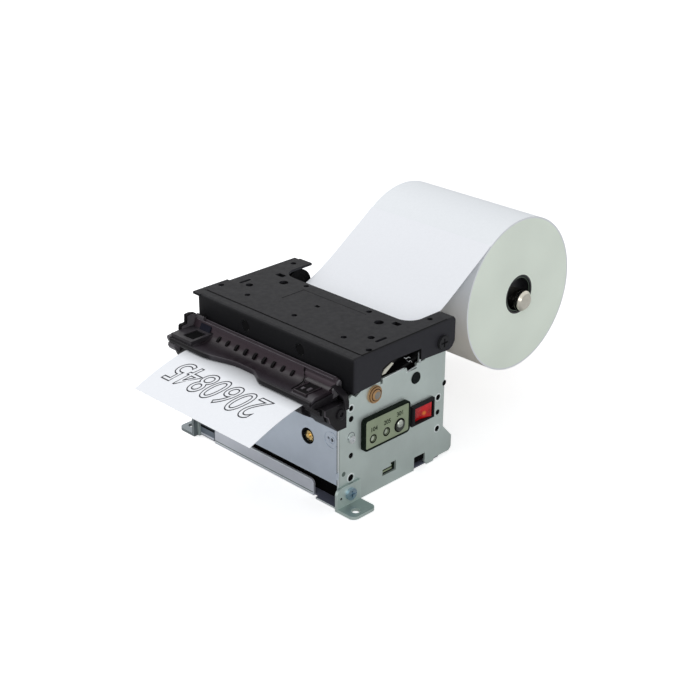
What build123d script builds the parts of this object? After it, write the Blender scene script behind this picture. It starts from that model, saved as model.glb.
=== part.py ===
"""Kiosk receipt printer with a rear paper roll.

Millimetres. +X is the side with the switch panel, +Y runs back towards the paper roll, +Z is up.
The origin is midway between the two mounting-foot holes, on the surface the printer stands on.
"""
from build123d import *
import math
import os

os.makedirs("parts", exist_ok=True)

# ---------------------------------------------------------------- driving dimensions
# Paper
paper_width = 80.0
paper_thick = 0.2
roll_diameter = 80.3
core_outer = 20.5
core_wall = 1.0

# Frame
side_room = 10.0
frame_depth = 72.6
panel_thick = 1.2
panel_front = 2.0
panel_rise = 5.8
tray_thick = 1.0
tongue_left = 35.8
tongue_front = 1.1
front_thick = 1.0
front_bottom = 11.9
mouth_drop = 10.5
lip_left = 37.3
lip_right = 33.0
lip_height = 8.3
foot_hole_setback = 5.0
foot_hole_out = 7.8
foot_hole_diameter = 4.2
foot_depth = 15.0
foot_reach = 12.0
foot_thick = 1.5
foot_ear_height = 11.5
screw_diameter = 3.0
foot_screw_head = 6.0
side_screw_head = 3.8
screw_head_height = 1.2
screw_slot = 0.7

# Cover
cover_rise = 23.1
cover_sheet = 1.2
cover_side_gap = 2.1
cover_front = 8.0
cover_rear_room = 9.0
cover_flange = 16.8
cover_overhang = 3.3
pivot_depth = 66.0
pivot_diameter = 5.0
lobe_diameter = 17.0
lobe_gap = 0.1
guide_ahead = 1.5
guide_below = 2.0

# Drive
platen_depth = 24.1
platen_height = 51.0
platen_diameter = 11.2
shaft_diameter = 5.0
shaft_chamfer = 0.6
bush_diameter = 8.6
bush_lip = 1.0
gear_module = 0.5
gear_width = 3.5
platen_teeth = 40
idler_teeth = 36
pinion_teeth = 14
motor_depth = 43.0
motor_drop = 24.0
motor_diameter = 35.0
motor_length = 22.0
motor_shaft_radius = 1.5
idler_radius = 2.0

# Cutter
cutter_teeth = 12
cutter_x = 29.8
cutter_height = 30.3
cutter_travel = 5.5
blade_depth = 10.0
blade_thick = 1.0
blade_rise = 2.5
blade_height = 9.5
blade_side_room = 4.3
blade_post_height = 14.0
cutter_shaft_reach = 12.0
cutter_motor_diameter = 20.0
cutter_motor_length = 24.0

# Paper mouth
mouth_notch = 6.7
jaw_rise = 2.5
mouth_left = -52.0
mouth_right = 45.0
wall_front = 5.8
wall_rear = 7.3
shelf_front = -11.2

# Side controls
status_front = 16.3
status_rear = 46.0
status_low = 25.0
status_high = 40.6
status_proud = 2.2
led_diameter = 3.0
led_recess = 0.5
button_diameter = 5.6
button_recess = 0.3
button_travel = 0.8
switch_front = 48.6
switch_width = 15.6
switch_low = 25.3
switch_height = 10.4
switch_proud = 2.0
rocker_swing = 14.0

# Roll holder
roll_depth = 139.4
roll_height = 62.9
spindle_diameter = 10.6
spindle_drop = 2.9
spindle_proud = 4.3
bracket_thick = 2.0

# Clearances
running = 0.05
clear = 0.2
soft_clear = 0.3

# ---------------------------------------------------------------- derived sizes
front_y = -foot_hole_setback
frame_width = paper_width + 2 * side_room
foot_hole_span = frame_width + 2 * foot_hole_out
half = frame_width / 2
inner = half - panel_thick
paper_half = paper_width / 2
cover_top = platen_height + cover_rise
cover_bottom = cover_top - cover_flange
cover_rear = pivot_depth + cover_rear_room
panel_top = platen_height + panel_rise
mouth_floor = platen_height - mouth_drop
jaw_top = platen_height + jaw_rise
motor_height = platen_height - motor_drop
blade_top = platen_height + blade_rise
blade_low = blade_top - blade_height
blade_half = inner - blade_side_room
cover_inner = half + cover_side_gap
cover_half = cover_inner + cover_sheet
cover_under = cover_top - cover_sheet
pivot_height = cover_under - lobe_gap - lobe_diameter / 2
roll_radius = roll_diameter / 2
core_radius = core_outer / 2
core_bore = core_radius - core_wall
spindle_height = roll_height - spindle_drop
platen_radius = platen_diameter / 2
platen_half = paper_half + 1.0
shaft_radius = shaft_diameter / 2
screw_radius = screw_diameter / 2
cutter_radius = cutter_teeth * gear_module / 2
switch_middle = switch_front + switch_width / 2
switch_centre_height = switch_low + switch_height / 2
paper_over_platen = platen_height + platen_radius + paper_thick / 2 + running


# ---------------------------------------------------------------- planes and small helpers
# Depths are measured back from a datum ahead of the foot holes, heights from the standing surface.
def side_plane(x):
    return Plane(origin=(x, front_y, 0), x_dir=(0, 1, 0), z_dir=(1, 0, 0))


def face_plane(depth):
    return Plane(origin=(0, front_y + depth, 0), x_dir=(1, 0, 0), z_dir=(0, -1, 0))


def level_plane(z):
    return Plane(origin=(0, front_y, z), x_dir=(1, 0, 0), z_dir=(0, 0, 1))


def span(low_x, high_x, low_y, high_y, mode=Mode.ADD):
    """Rectangle between four limits, in the open sketch."""
    with Locations(((low_x + high_x) / 2, (low_y + high_y) / 2)):
        Rectangle(high_x - low_x, high_y - low_y, mode=mode)


def disc(x, y, radius, mode=Mode.ADD):
    """Circle at one point of the open sketch."""
    with Locations((x, y)):
        Circle(radius, mode=mode)


def block(low_x, high_x, low_d, high_d, low_z, high_z, mode=Mode.ADD):
    """Box between six limits, in the open part."""
    with BuildSketch(level_plane(low_z)) as profile:
        span(low_x, high_x, low_d, high_d)
    extrude(profile.sketch, amount=high_z - low_z, mode=mode)


def rod_x(low_x, high_x, depth, height, radius, mode=Mode.ADD):
    """Cylinder along X, in the open part."""
    with BuildSketch(side_plane(low_x)) as profile:
        disc(depth, height, radius)
    extrude(profile.sketch, amount=high_x - low_x, mode=mode)


def rod_y(low_d, high_d, x, height, radius, mode=Mode.ADD):
    """Cylinder along Y, in the open part."""
    with BuildSketch(face_plane(high_d)) as profile:
        disc(x, height, radius)
    extrude(profile.sketch, amount=high_d - low_d, mode=mode)


def slab_x(low_x, high_x, points, mode=Mode.ADD):
    """Plate whose outline lies in the depth-height plane, in the open part."""
    with BuildSketch(side_plane(low_x)) as profile:
        with BuildLine():
            Polyline(*points, close=True)
        make_face()
    extrude(profile.sketch, amount=high_x - low_x, mode=mode)


def raised(points, base):
    """Outline points whose heights are measured from a base height."""
    return [(depth, base + height) for depth, height in points]


def involute(angle):
    return math.tan(angle) - angle


def gear_points(teeth, centre, tooth_angle, backlash=0.12, flank_steps=3):
    """Spur-gear outline with one tooth centred on tooth_angle (radians)."""
    pressure = math.radians(20)
    pitch = gear_module * teeth / 2
    base = pitch * math.cos(pressure)
    tip = pitch + 0.92 * gear_module
    root = pitch - 1.25 * gear_module
    start = max(base, root)
    pitch_half = math.pi / (2 * teeth) - backlash / (2 * pitch)
    flank = []
    for step in range(flank_steps):
        radius = start + (tip - start) * step / (flank_steps - 1)
        roll = math.acos(min(1.0, base / radius))
        flank.append((radius, pitch_half + involute(pressure) - involute(roll)))
    if root < start:
        flank.insert(0, (root, flank[0][1]))
    points = []
    for tooth in range(teeth):
        middle = tooth_angle + 2 * math.pi * tooth / teeth
        side = [(radius, middle - spread) for radius, spread in flank]
        side += [(radius, middle + spread) for radius, spread in reversed(flank)]
        for radius, angle in side:
            points.append((centre[0] + radius * math.cos(angle), centre[1] + radius * math.sin(angle)))
    return points


# ---------------------------------------------------------------- gear train layout
# The platen gear, idler and motor pinion stand in mesh, so their phases follow from their centres.
platen_at = (platen_depth, platen_height)
motor_at = (motor_depth, motor_height)
first_reach = gear_module * (platen_teeth + idler_teeth) / 2
second_reach = gear_module * (idler_teeth + pinion_teeth) / 2
train_dx = motor_at[0] - platen_at[0]
train_dy = motor_at[1] - platen_at[1]
train_length = math.hypot(train_dx, train_dy)
along = (first_reach ** 2 - second_reach ** 2 + train_length ** 2) / (2 * train_length)
aside = math.sqrt(max(0.0, first_reach ** 2 - along ** 2))
idler_at = (
    platen_at[0] + (along * train_dx + aside * train_dy) / train_length,
    platen_at[1] + (along * train_dy - aside * train_dx) / train_length,
)
first_angle = math.atan2(idler_at[1] - platen_at[1], idler_at[0] - platen_at[0])
second_angle = math.atan2(motor_at[1] - idler_at[1], motor_at[0] - idler_at[0])
idler_pitch = 2 * math.pi / idler_teeth
idler_tooth = first_angle + math.pi + idler_pitch / 2
idler_offset = (idler_tooth - second_angle) % idler_pitch
pinion_tooth = second_angle + math.pi - idler_offset * idler_teeth / pinion_teeth + math.pi / pinion_teeth
gear_left = -inner + 1.0
gear_right = gear_left + gear_width

# Holes shared by the two side panels: depth, height, radius
front_holes = [(9.6, 48.9, 1.3), (9.6, 43.6, 1.5), (9.6, 25.0, 1.4), (9.6, 13.5, 1.7)]
rear_holes = [(68.3, 33.6, 1.5), (68.3, 25.7, 1.4), (68.3, 16.8, 1.5)]
front_screw = (9.6, 33.5)
foot_screw = (8.0, 6.6)
tie_at = (52.0, 49.5)
tie_radius = 3.0


def panel_outline():
    """Side panel outline: floor notch, rear lobe, pivot ear, sawn top edge and mouth notch."""
    ear_half = 5.0
    return [
        (panel_front, 0),
        (52.4, 0),
        (52.4, 7.0),
        (60.0, 7.0),
        (60.0, 2.0),
        (61.5, 0),
        (66.0, 0),
        (67.0, 1.5),
        (frame_depth + 4.8, 1.5),
        (frame_depth + 6.4, 3.0),
        (frame_depth + 6.4, 9.4),
        (frame_depth, 16.6),
        (frame_depth, panel_top + 1.2),
        (pivot_depth + ear_half, pivot_height),
        (pivot_depth + ear_half / 2, pivot_height + 4.4),
        (pivot_depth - ear_half / 2, pivot_height + 4.4),
        (pivot_depth - ear_half, pivot_height),
        (pivot_depth - 8.0, panel_top),
        (52.4, panel_top),
        (52.4, panel_top - 2.6),
        (46.4, panel_top - 2.6),
        (45.4, panel_top),
        (29.7, panel_top),
        (29.7, panel_top - 2.5),
        (28.2, panel_top - 2.5),
        (28.2, panel_top),
        (18.6, panel_top),
        (12.4, panel_top - 3.3),
        (10.0, panel_top - 1.5),
        (mouth_notch, panel_top - 3.8),
        (mouth_notch, mouth_floor - 0.1),
        (panel_front, mouth_floor - 0.1),
    ]


def panel_holes():
    """Holes that both side panels share, cut in the open part."""
    reach = frame_width
    for depth, height, radius in front_holes + rear_holes:
        rod_x(-reach, reach, depth, height, radius, Mode.SUBTRACT)
    for depth, height in (front_screw, foot_screw):
        rod_x(-reach, reach, depth, height, screw_radius, Mode.SUBTRACT)
    rod_x(-reach, reach, *tie_at, tie_radius, Mode.SUBTRACT)
    rod_x(-reach, reach, *platen_at, bush_diameter / 2 - bush_lip, Mode.SUBTRACT)
    rod_x(-reach, reach, pivot_depth, pivot_height, pivot_diameter / 2, Mode.SUBTRACT)
    rod_x(-reach, reach, frame_depth, 39.7, 1.5, Mode.SUBTRACT)


# ---------------------------------------------------------------- side panels
status_wall = 1.2
switch_wall = 1.0
window_low = 5.8
window_high = 9.1
with BuildPart() as side_panel_right:
    slab_x(inner, half, panel_outline())
    panel_holes()
    block(
        0, half * 2, status_front + status_wall, status_rear - status_wall,
        status_low + status_wall, status_high - status_wall, Mode.SUBTRACT,
    )
    block(
        0, half * 2, switch_front + switch_wall, switch_front + switch_width - switch_wall,
        switch_low + switch_wall, switch_low + switch_height - switch_wall, Mode.SUBTRACT,
    )
    block(0, half * 2, 30.6, 39.7, window_low, window_high, Mode.SUBTRACT)
    block(0, half * 2, 36.2, 39.7, window_high, window_high + 1.8, Mode.SUBTRACT)
side_panel_right.part.label = "side_panel_right"
export_step(side_panel_right.part, "parts/side_panel_right.step")

with BuildPart() as side_panel_left:
    slab_x(-half, -inner, panel_outline())
    panel_holes()
    rod_x(-frame_width, 0, *idler_at, idler_radius, Mode.SUBTRACT)
side_panel_left.part.label = "side_panel_left"
export_step(side_panel_left.part, "parts/side_panel_left.step")

# ---------------------------------------------------------------- front panel, rear panel, tray
flange_depth = 12.0
flange_low = 28.0
pinion_window = 4.0
ring_width = 0.4
ring_deep = 0.25
# Pressed rings and pilot holes near the right end: x, height, radius
pressed_rings = [(45.0, 34.0, 4.2), (45.6, 34.1, 1.9)]
pilot_holes = [(43.2, 34.5, 0.6), (45.6, 34.1, 0.9)]
with BuildPart() as front_panel:
    panel_back = panel_front + front_thick
    block(-inner, inner, panel_front, panel_back, front_bottom, mouth_floor - 0.1)
    for low_x in (-inner, inner - front_thick):
        block(low_x, low_x + front_thick, panel_front, flange_depth, flange_low, mouth_floor - 0.1)
    rod_x(-inner, inner, *front_screw, screw_radius, Mode.SUBTRACT)
    rod_y(panel_front - 1, panel_back + 1, cutter_x, cutter_height, pinion_window, Mode.SUBTRACT)
    for ring_x, ring_height, ring_radius in pressed_rings:
        with BuildSketch(face_plane(panel_front + ring_deep)):
            disc(ring_x, ring_height, ring_radius)
            disc(ring_x, ring_height, ring_radius - ring_width, Mode.SUBTRACT)
        extrude(amount=1.0, mode=Mode.SUBTRACT)
    for hole_x, hole_height, hole_radius in pilot_holes:
        rod_y(panel_front - 1, panel_back + 1, hole_x, hole_height, hole_radius, Mode.SUBTRACT)
front_panel.part.label = "front_panel"
export_step(front_panel.part, "parts/front_panel.step")

rear_at = frame_depth - 2.4
board_low = tray_thick + 4.0
board_high = board_low + 1.6
serial_x = (16.0, 40.0)
power_x = (-4.0, 10.0)
connector_height = 8.0
rear_panel_top = 46.0
with BuildPart() as rear_panel:
    block(-inner, inner, rear_at, rear_at + front_thick, tray_thick, rear_panel_top)
    for low_x, high_x in (serial_x, power_x):
        block(
            low_x - clear, high_x + clear, rear_at - 5, rear_at + 5,
            board_high - clear, board_high + connector_height + clear, Mode.SUBTRACT,
        )
rear_panel.part.label = "rear_panel"
export_step(rear_panel.part, "parts/rear_panel.step")

tray_front = 3.5
with BuildPart() as base_tray:
    block(-inner, inner, tray_front, rear_at + front_thick, 0, tray_thick)
    block(tongue_left, inner, tongue_front, tray_front, 0, tray_thick)
base_tray.part.label = "base_tray"
export_step(base_tray.part, "parts/base_tray.step")

with BuildPart() as front_lip:
    block(-lip_left, lip_right, tray_front - front_thick, tray_front, 0, lip_height)
    fillet(front_lip.edges().filter_by(Axis.Y).group_by(Axis.Z)[-1], 2.4)
front_lip.part.label = "front_lip"
export_step(front_lip.part, "parts/front_lip.step")


# ---------------------------------------------------------------- mounting feet
def foot_bracket(side):
    """L-shaped foot: an ear screwed to the side panel and a drilled tab on the counter."""
    ear_front = -0.5
    ear_low = min(side * half, side * (half + foot_thick))
    tab_low = min(side * half, side * (half + foot_reach))
    with BuildPart() as foot:
        with BuildSketch(side_plane(ear_low)) as ear:
            span(ear_front, ear_front + foot_depth, 0, foot_ear_height)
            fillet(ear.vertices().group_by(Axis.Y)[-1].sort_by(Axis.X)[0], 3.5)
            disc(*foot_screw, screw_radius, Mode.SUBTRACT)
        extrude(amount=foot_thick)
        block(tab_low, tab_low + foot_reach, ear_front, ear_front + foot_depth, 0, foot_thick)
        outer = foot.edges().filter_by(Axis.Z).sort_by(Axis.X, reverse=side > 0)[0:2]
        fillet(outer, 3.0)
        with Locations((side * foot_hole_span / 2, front_y + foot_hole_setback, foot_thick)):
            Hole(foot_hole_diameter / 2, depth=foot_thick)
    return foot


foot_bracket_right = foot_bracket(1)
foot_bracket_right.part.label = "foot_bracket_right"
export_step(foot_bracket_right.part, "parts/foot_bracket_right.step")

foot_bracket_left = foot_bracket(-1)
foot_bracket_left.part.label = "foot_bracket_left"
export_step(foot_bracket_left.part, "parts/foot_bracket_left.step")


def screw_x(side, seat, depth, height, shank_end, head):
    """Pan-head screw along X: the head's underside at the seat, a crossed slot in its top."""
    top = side * (seat + screw_head_height)
    low = min(side * seat, top)
    rod_x(low, low + screw_head_height, depth, height, head)
    low = min(side * shank_end, side * seat)
    rod_x(low, low + abs(seat - shank_end), depth, height, screw_radius)
    slot_low = min(top, top - side * screw_slot)
    for wide, tall in ((head * 1.2, screw_slot), (screw_slot, head * 1.2)):
        block(
            slot_low, slot_low + screw_slot, depth - wide / 2, depth + wide / 2,
            height - tall / 2, height + tall / 2, Mode.SUBTRACT,
        )


with BuildPart() as foot_screws:
    for side in (-1, 1):
        screw_x(side, half + foot_thick, *foot_screw, inner - 2.0, foot_screw_head / 2)
foot_screws.part.label = "foot_screws"
export_step(foot_screws.part, "parts/foot_screws.step")

with BuildPart() as side_screws:
    for side in (-1, 1):
        screw_x(side, half, *front_screw, inner - front_thick - 1.0, side_screw_head / 2)
    for depth, height, radius in (rear_holes[0], rear_holes[2]):
        screw_x(-1, half + bracket_thick, depth, height, inner - 2.0, foot_screw_head / 2)
side_screws.part.label = "side_screws"
export_step(side_screws.part, "parts/side_screws.step")

with BuildPart() as cross_tie:
    rod_x(-half - 0.6, half + 0.6, *tie_at, tie_radius)
    chamfer(cross_tie.edges().filter_by(GeomType.CIRCLE), 0.4)
cross_tie.part.label = "cross_tie"
export_step(cross_tie.part, "parts/cross_tie.step")

# ---------------------------------------------------------------- cover hinge and paper guides
lobe_outer = inner - 3.6
lobe_thick = 1.6
guide_radius = 2.0
guide_depth = pivot_depth - guide_ahead
guide_height = pivot_height - guide_below


def mirrored_rod(inner_x, outer_x, depth, height, radius, mode=Mode.ADD):
    """The same rod on both sides of the middle plane."""
    for side in (-1, 1):
        low = min(side * inner_x, side * outer_x)
        rod_x(low, low + outer_x - inner_x, depth, height, radius, mode)


with BuildPart() as pivot_screws:
    mirrored_rod(lobe_outer, cover_half + running, pivot_depth, pivot_height, pivot_diameter / 2)
    mirrored_rod(cover_half + running, cover_half + 1.5, pivot_depth, pivot_height, 3.5)
    for side in (-1, 1):
        slot_low = min(side * (cover_half + 0.7), side * (cover_half + 1.5))
        for wide, tall in ((4.2, 0.8), (0.8, 4.2)):
            block(
                slot_low, slot_low + 0.8, pivot_depth - wide / 2, pivot_depth + wide / 2,
                pivot_height - tall / 2, pivot_height + tall / 2, Mode.SUBTRACT,
            )
pivot_screws.part.label = "pivot_screws"
export_step(pivot_screws.part, "parts/pivot_screws.step")

with BuildPart() as guide_lobes:
    mirrored_rod(lobe_outer - lobe_thick, lobe_outer, pivot_depth, pivot_height, lobe_diameter / 2)
    mirrored_rod(lobe_outer, inner, pivot_depth, pivot_height, 4.4)
    mirrored_rod(lobe_outer, inner, pivot_depth, pivot_height, pivot_diameter / 2, Mode.SUBTRACT)
    mirrored_rod(lobe_outer - lobe_thick, lobe_outer, guide_depth, guide_height, guide_radius, Mode.SUBTRACT)
guide_lobes.part.label = "guide_lobes"
export_step(guide_lobes.part, "parts/guide_lobes.step")

with BuildPart() as guide_rod:
    rod_x(-lobe_outer, lobe_outer, guide_depth, guide_height, guide_radius)
guide_rod.part.label = "guide_rod"
export_step(guide_rod.part, "parts/guide_rod.step")

sensor_half = 6.0
sensor_length = 8.0
sensor_thick = 3.5
plate_thick = 1.5
plate_front = platen_depth + 11.9
plate_rear = guide_depth - 6.5
plate_front_top = platen_height + 5.1
plate_slope = (guide_height - 1.4 - plate_front_top) / (plate_rear - plate_front)
sensor_front = (plate_front + plate_rear - sensor_length) / 2 + 1.0
sensor_rear = sensor_front + sensor_length


def plate_top(depth):
    """Height of the paper guide's upper face at a depth."""
    return plate_front_top + plate_slope * (depth - plate_front)


def sloped_slab(low_x, high_x, low_d, high_d, below, thick, mode=Mode.ADD):
    """Slab along the paper guide's slope, its top a little below the guide's own."""
    top = [(low_d, plate_top(low_d) - below), (high_d, plate_top(high_d) - below)]
    slab_x(low_x, high_x, top + [(depth, height - thick) for depth, height in reversed(top)], mode)


with BuildPart() as paper_guide:
    sloped_slab(-inner, inner, plate_front, plate_rear, 0, plate_thick)
    block(
        -sensor_half - clear, sensor_half + clear, sensor_front - clear, sensor_rear + clear,
        platen_height, plate_top(sensor_rear) + 1, Mode.SUBTRACT,
    )
paper_guide.part.label = "paper_guide"
export_step(paper_guide.part, "parts/paper_guide.step")

with BuildPart() as paper_sensor:
    sloped_slab(-sensor_half, sensor_half, sensor_front, sensor_rear, clear, sensor_thick)
paper_sensor.part.label = "paper_sensor"
export_step(paper_sensor.part, "parts/paper_sensor.step")

# ---------------------------------------------------------------- top cover
arm_inner = cover_half - 10.0
rear_edge = pivot_depth - 11.5
window_front = 24.8
window_rear = 50.2
window_top = 8.7
notch_radius = 8.0
# Lower edge of the side flanges: depth, height above the flange's lowest point
flange_cut = [
    (cover_front - 1, -1.0),
    (cover_front - 1, 0.0),
    (window_front, 0.9),
    (window_front + 1.4, window_top - 1.8),
    (window_front + 7.2, window_top),
    (window_rear, window_top - 0.4),
    (window_rear, 3.3),
    (window_rear + 2.2, 2.4),
    (cover_rear - 3.7, 1.5),
    (cover_rear - 1.4, 2.9),
    (cover_rear, 5.2),
    (cover_rear + 1, 5.2),
    (cover_rear + 1, -1.0),
]
# Round holes in the top: x, depth, radius
top_holes = [
    (-49.4, 67.9, 1.5), (-33.9, 46.9, 2.3), (-43.4, 32.8, 1.9), (-53.0, 23.0, 1.5), (-34.6, 23.8, 1.4),
    (-0.8, 23.0, 1.4), (-22.8, 51.6, 1.4), (20.6, 50.9, 1.4), (32.4, 45.2, 2.3), (41.6, 30.5, 1.7),
    (50.2, 20.2, 1.5), (32.7, 22.0, 1.4), (46.3, 64.8, 1.4),
]
square_holes = [(-42.0, 52.4, 5.0, 3.0), (-0.9, 38.0, 2.6, 1.8), (39.3, 49.8, 4.2, 3.0)]
slant_slots = [(-48.6, 34.6), (46.4, 32.0)]
slot_length = 7.0
slot_width = 1.7
blade_screw_x = 18.5
blade_screw_height = cover_top - 6.3
blade_screw_head = 2.5
blade_screw_hole = 2.9
with BuildPart() as top_cover:
    block(-cover_half, cover_half, cover_front, cover_rear, cover_bottom - 0.5, cover_top)
    top_cover_edges = top_cover.edges()
    bend = top_cover_edges.filter_by(Axis.X).group_by(Axis.Z)[-1].group_by(Axis.Y)[0]
    bend += top_cover_edges.filter_by(Axis.Y).group_by(Axis.Z)[-1]
    bend += top_cover_edges.filter_by(Axis.Z).group_by(Axis.Y)[0]
    fillet(bend, 1.6)
    block(
        -cover_inner, cover_inner, cover_front + cover_sheet, cover_rear + 1,
        cover_bottom - 2, cover_under, Mode.SUBTRACT,
    )
    slab_x(-cover_half - 1, cover_half + 1, raised(flange_cut, cover_bottom), Mode.SUBTRACT)
    # Left edge stands out over the flange towards the front
    block(-cover_half - cover_overhang, -cover_half + 2, cover_front, 30.0, cover_under, cover_top)
    block(-cover_half - 1.7, -cover_half + 2, 30.0, cover_rear - 1, cover_under, cover_top)
    # Bay between the two rear arms
    with BuildSketch(level_plane(cover_under - 1)) as bay:
        span(-arm_inner, arm_inner, rear_edge, cover_rear + 5)
        fillet(bay.vertices().group_by(Axis.Y)[0], notch_radius)
    extrude(amount=cover_sheet + 3, mode=Mode.SUBTRACT)
    with BuildSketch(level_plane(cover_under - 1)):
        for x, depth, radius in top_holes:
            disc(x, depth, radius)
        for x, depth, wide, deep in square_holes:
            with Locations((x, depth)):
                Rectangle(wide, deep)
        for x, depth in slant_slots:
            with Locations((x, depth)):
                SlotOverall(slot_length, slot_width, rotation=90)
    extrude(amount=cover_sheet + 3, mode=Mode.SUBTRACT)
    rod_x(-frame_width, frame_width, pivot_depth, pivot_height, pivot_diameter / 2 + running, Mode.SUBTRACT)
    for side in (-1, 1):
        rod_y(
            cover_front - 1, cover_front + cover_sheet, side * blade_screw_x, blade_screw_height,
            blade_screw_hole, Mode.SUBTRACT,
        )
    # Groove behind the front bend, and the slot in the flange beside the latch window
    block(-cover_half, cover_half, 13.8, 14.3, cover_top - 0.3, cover_top + 1, Mode.SUBTRACT)
    block(
        0, cover_half + 1, window_rear, window_rear + 1.4, cover_bottom - 1,
        cover_bottom + window_top - 0.4, Mode.SUBTRACT,
    )
top_cover.part.label = "top_cover"
export_step(top_cover.part, "parts/top_cover.step")

# ---------------------------------------------------------------- print head, in the cover
head_half = paper_half
head_low = paper_over_platen + paper_thick / 2 + clear
head_front = platen_depth - 6.6
head_rear = platen_depth + 7.9
ceramic_thick = 0.9
sink_base = 5.05
fin_count = 5
fin_pitch = 2.4
fin_depth = 4.0
sink_floor = head_low + ceramic_thick + sink_base
sink_high = sink_floor + fin_depth
spring_radius = 2.6
spring_wire = 0.35
spring_turns = 4
spring_x = 24.0
spring_depth = platen_depth + 1.9
with BuildPart() as print_head:
    block(-head_half, head_half, head_front, head_rear, head_low, head_low + ceramic_thick)
print_head.part.label = "print_head"
export_step(print_head.part, "parts/print_head.step")

with BuildPart() as heat_sink:
    block(-head_half, head_half, head_front, head_rear, head_low + ceramic_thick, sink_high)
    for fin in range(fin_count):
        fin_front = head_front + 2.0 + fin * fin_pitch
        # The fourth gap stays solid under the springs
        if fin != 3:
            block(-head_half, head_half, fin_front, fin_front + 1.0, sink_floor, sink_high + 1, Mode.SUBTRACT)
heat_sink.part.label = "heat_sink"
export_step(heat_sink.part, "parts/heat_sink.step")

spring_height = cover_under - sink_high
spring_pitch = (spring_height - 2 * spring_wire) / spring_turns


def coil_spring(x, depth, low_z):
    """Compression spring standing on low_z, added to the open part."""
    with BuildLine():
        coil = Helix(
            spring_pitch, spring_height - 2 * spring_wire, spring_radius,
            center=(x, front_y + depth, low_z + spring_wire),
        )
    with BuildSketch(Plane(coil @ 0, z_dir=coil % 0)) as wire:
        Circle(spring_wire)
    sweep(wire.sketch, path=coil, is_frenet=True)


with BuildPart() as head_springs:
    for side in (-1, 1):
        coil_spring(side * spring_x, spring_depth, sink_high)
head_springs.part.label = "head_springs"
export_step(head_springs.part, "parts/head_springs.step")

# ---------------------------------------------------------------- cutter blades
fixed_front = blade_depth + blade_thick + 0.3
fixed_thick = 1.5
fixed_half = paper_half + 2.0
fixed_low = paper_over_platen + 0.45
fixed_high = cover_top - 3.6
with BuildPart() as fixed_blade:
    block(-fixed_half, fixed_half, fixed_front, fixed_front + fixed_thick, fixed_low, fixed_high)
    for side in (-1, 1):
        spacer = fixed_front - cover_front - cover_sheet
        rod_y(fixed_front - spacer, fixed_front, side * blade_screw_x, blade_screw_height, blade_screw_hole + 1.2)
        rod_y(cover_front, fixed_front + 3, side * blade_screw_x, blade_screw_height, screw_radius, Mode.SUBTRACT)
fixed_blade.part.label = "fixed_blade"
export_step(fixed_blade.part, "parts/fixed_blade.step")

with BuildPart() as blade_screws:
    for side in (-1, 1):
        head_seat = cover_front + cover_sheet
        rod_y(head_seat - 0.9, head_seat, side * blade_screw_x, blade_screw_height, blade_screw_head)
        rod_y(head_seat, fixed_front + fixed_thick, side * blade_screw_x, blade_screw_height, screw_radius)
blade_screws.part.label = "blade_screws"
export_step(blade_screws.part, "parts/blade_screws.step")

rack_pitch = math.pi * gear_module
rack_line = cutter_x + cutter_radius
rack_low = cutter_height - cutter_travel - 4.0
with BuildPart() as moving_blade:
    with BuildSketch(face_plane(blade_depth + blade_thick)):
        with BuildLine():
            Polyline(
                (-blade_half, blade_low), (-blade_half, blade_top), (0, blade_top - 1.2),
                (blade_half, blade_top), (blade_half, blade_low), close=True,
            )
        make_face()
        span(rack_line + 0.62, rack_line + 6.0, rack_low, blade_low)
    extrude(amount=blade_thick)
    tooth_count = int((cutter_travel + 5.0) / rack_pitch)
    for tooth in range(tooth_count):
        middle = cutter_height + rack_pitch * (1.5 - tooth)
        with BuildSketch(face_plane(blade_depth + blade_thick)):
            with BuildLine():
                Polyline(
                    (rack_line + 0.7, middle - 0.56), (rack_line - 0.46, middle - 0.17),
                    (rack_line - 0.46, middle + 0.17), (rack_line + 0.7, middle + 0.56), close=True,
                )
            make_face()
        extrude(amount=blade_thick)
moving_blade.part.label = "moving_blade"
export_step(moving_blade.part, "parts/moving_blade.step")

post_inner = blade_half - 1.3
post_high = blade_top + 1.5
post_low = post_high - blade_post_height
with BuildPart() as blade_guides:
    for side in (-1, 1):
        low = min(side * post_inner, side * inner)
        block(low, low + inner - post_inner, blade_depth - 1.6, blade_depth + blade_thick + 1.6, post_low, post_high)
    block(
        -blade_half - clear, blade_half + clear, blade_depth - 0.1, blade_depth + blade_thick + 0.1,
        post_low - 1, post_high + 1, Mode.SUBTRACT,
    )
blade_guides.part.label = "blade_guides"
export_step(blade_guides.part, "parts/blade_guides.step")

cutter_plate = blade_depth + blade_thick + 1.8
with BuildPart() as cutter_pinion:
    with BuildSketch(face_plane(blade_depth + blade_thick + 0.6)):
        with BuildLine():
            Polyline(*gear_points(cutter_teeth, (cutter_x, cutter_height), 0), close=True)
        make_face()
    extrude(amount=blade_depth + blade_thick - panel_front)
    rod_y(panel_front, cutter_plate + cutter_shaft_reach, cutter_x, cutter_height, 1.0)
cutter_pinion.part.label = "cutter_pinion"
export_step(cutter_pinion.part, "parts/cutter_pinion.step")

bracket_left = 14.0
bracket_top = 43.0
with BuildPart() as cutter_bracket:
    block(bracket_left, inner, cutter_plate, cutter_plate + front_thick, tray_thick, bracket_top)
    rod_y(cutter_plate - 1, cutter_plate + 3, cutter_x, cutter_height, 3.5, Mode.SUBTRACT)
cutter_bracket.part.label = "cutter_bracket"
export_step(cutter_bracket.part, "parts/cutter_bracket.step")

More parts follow.
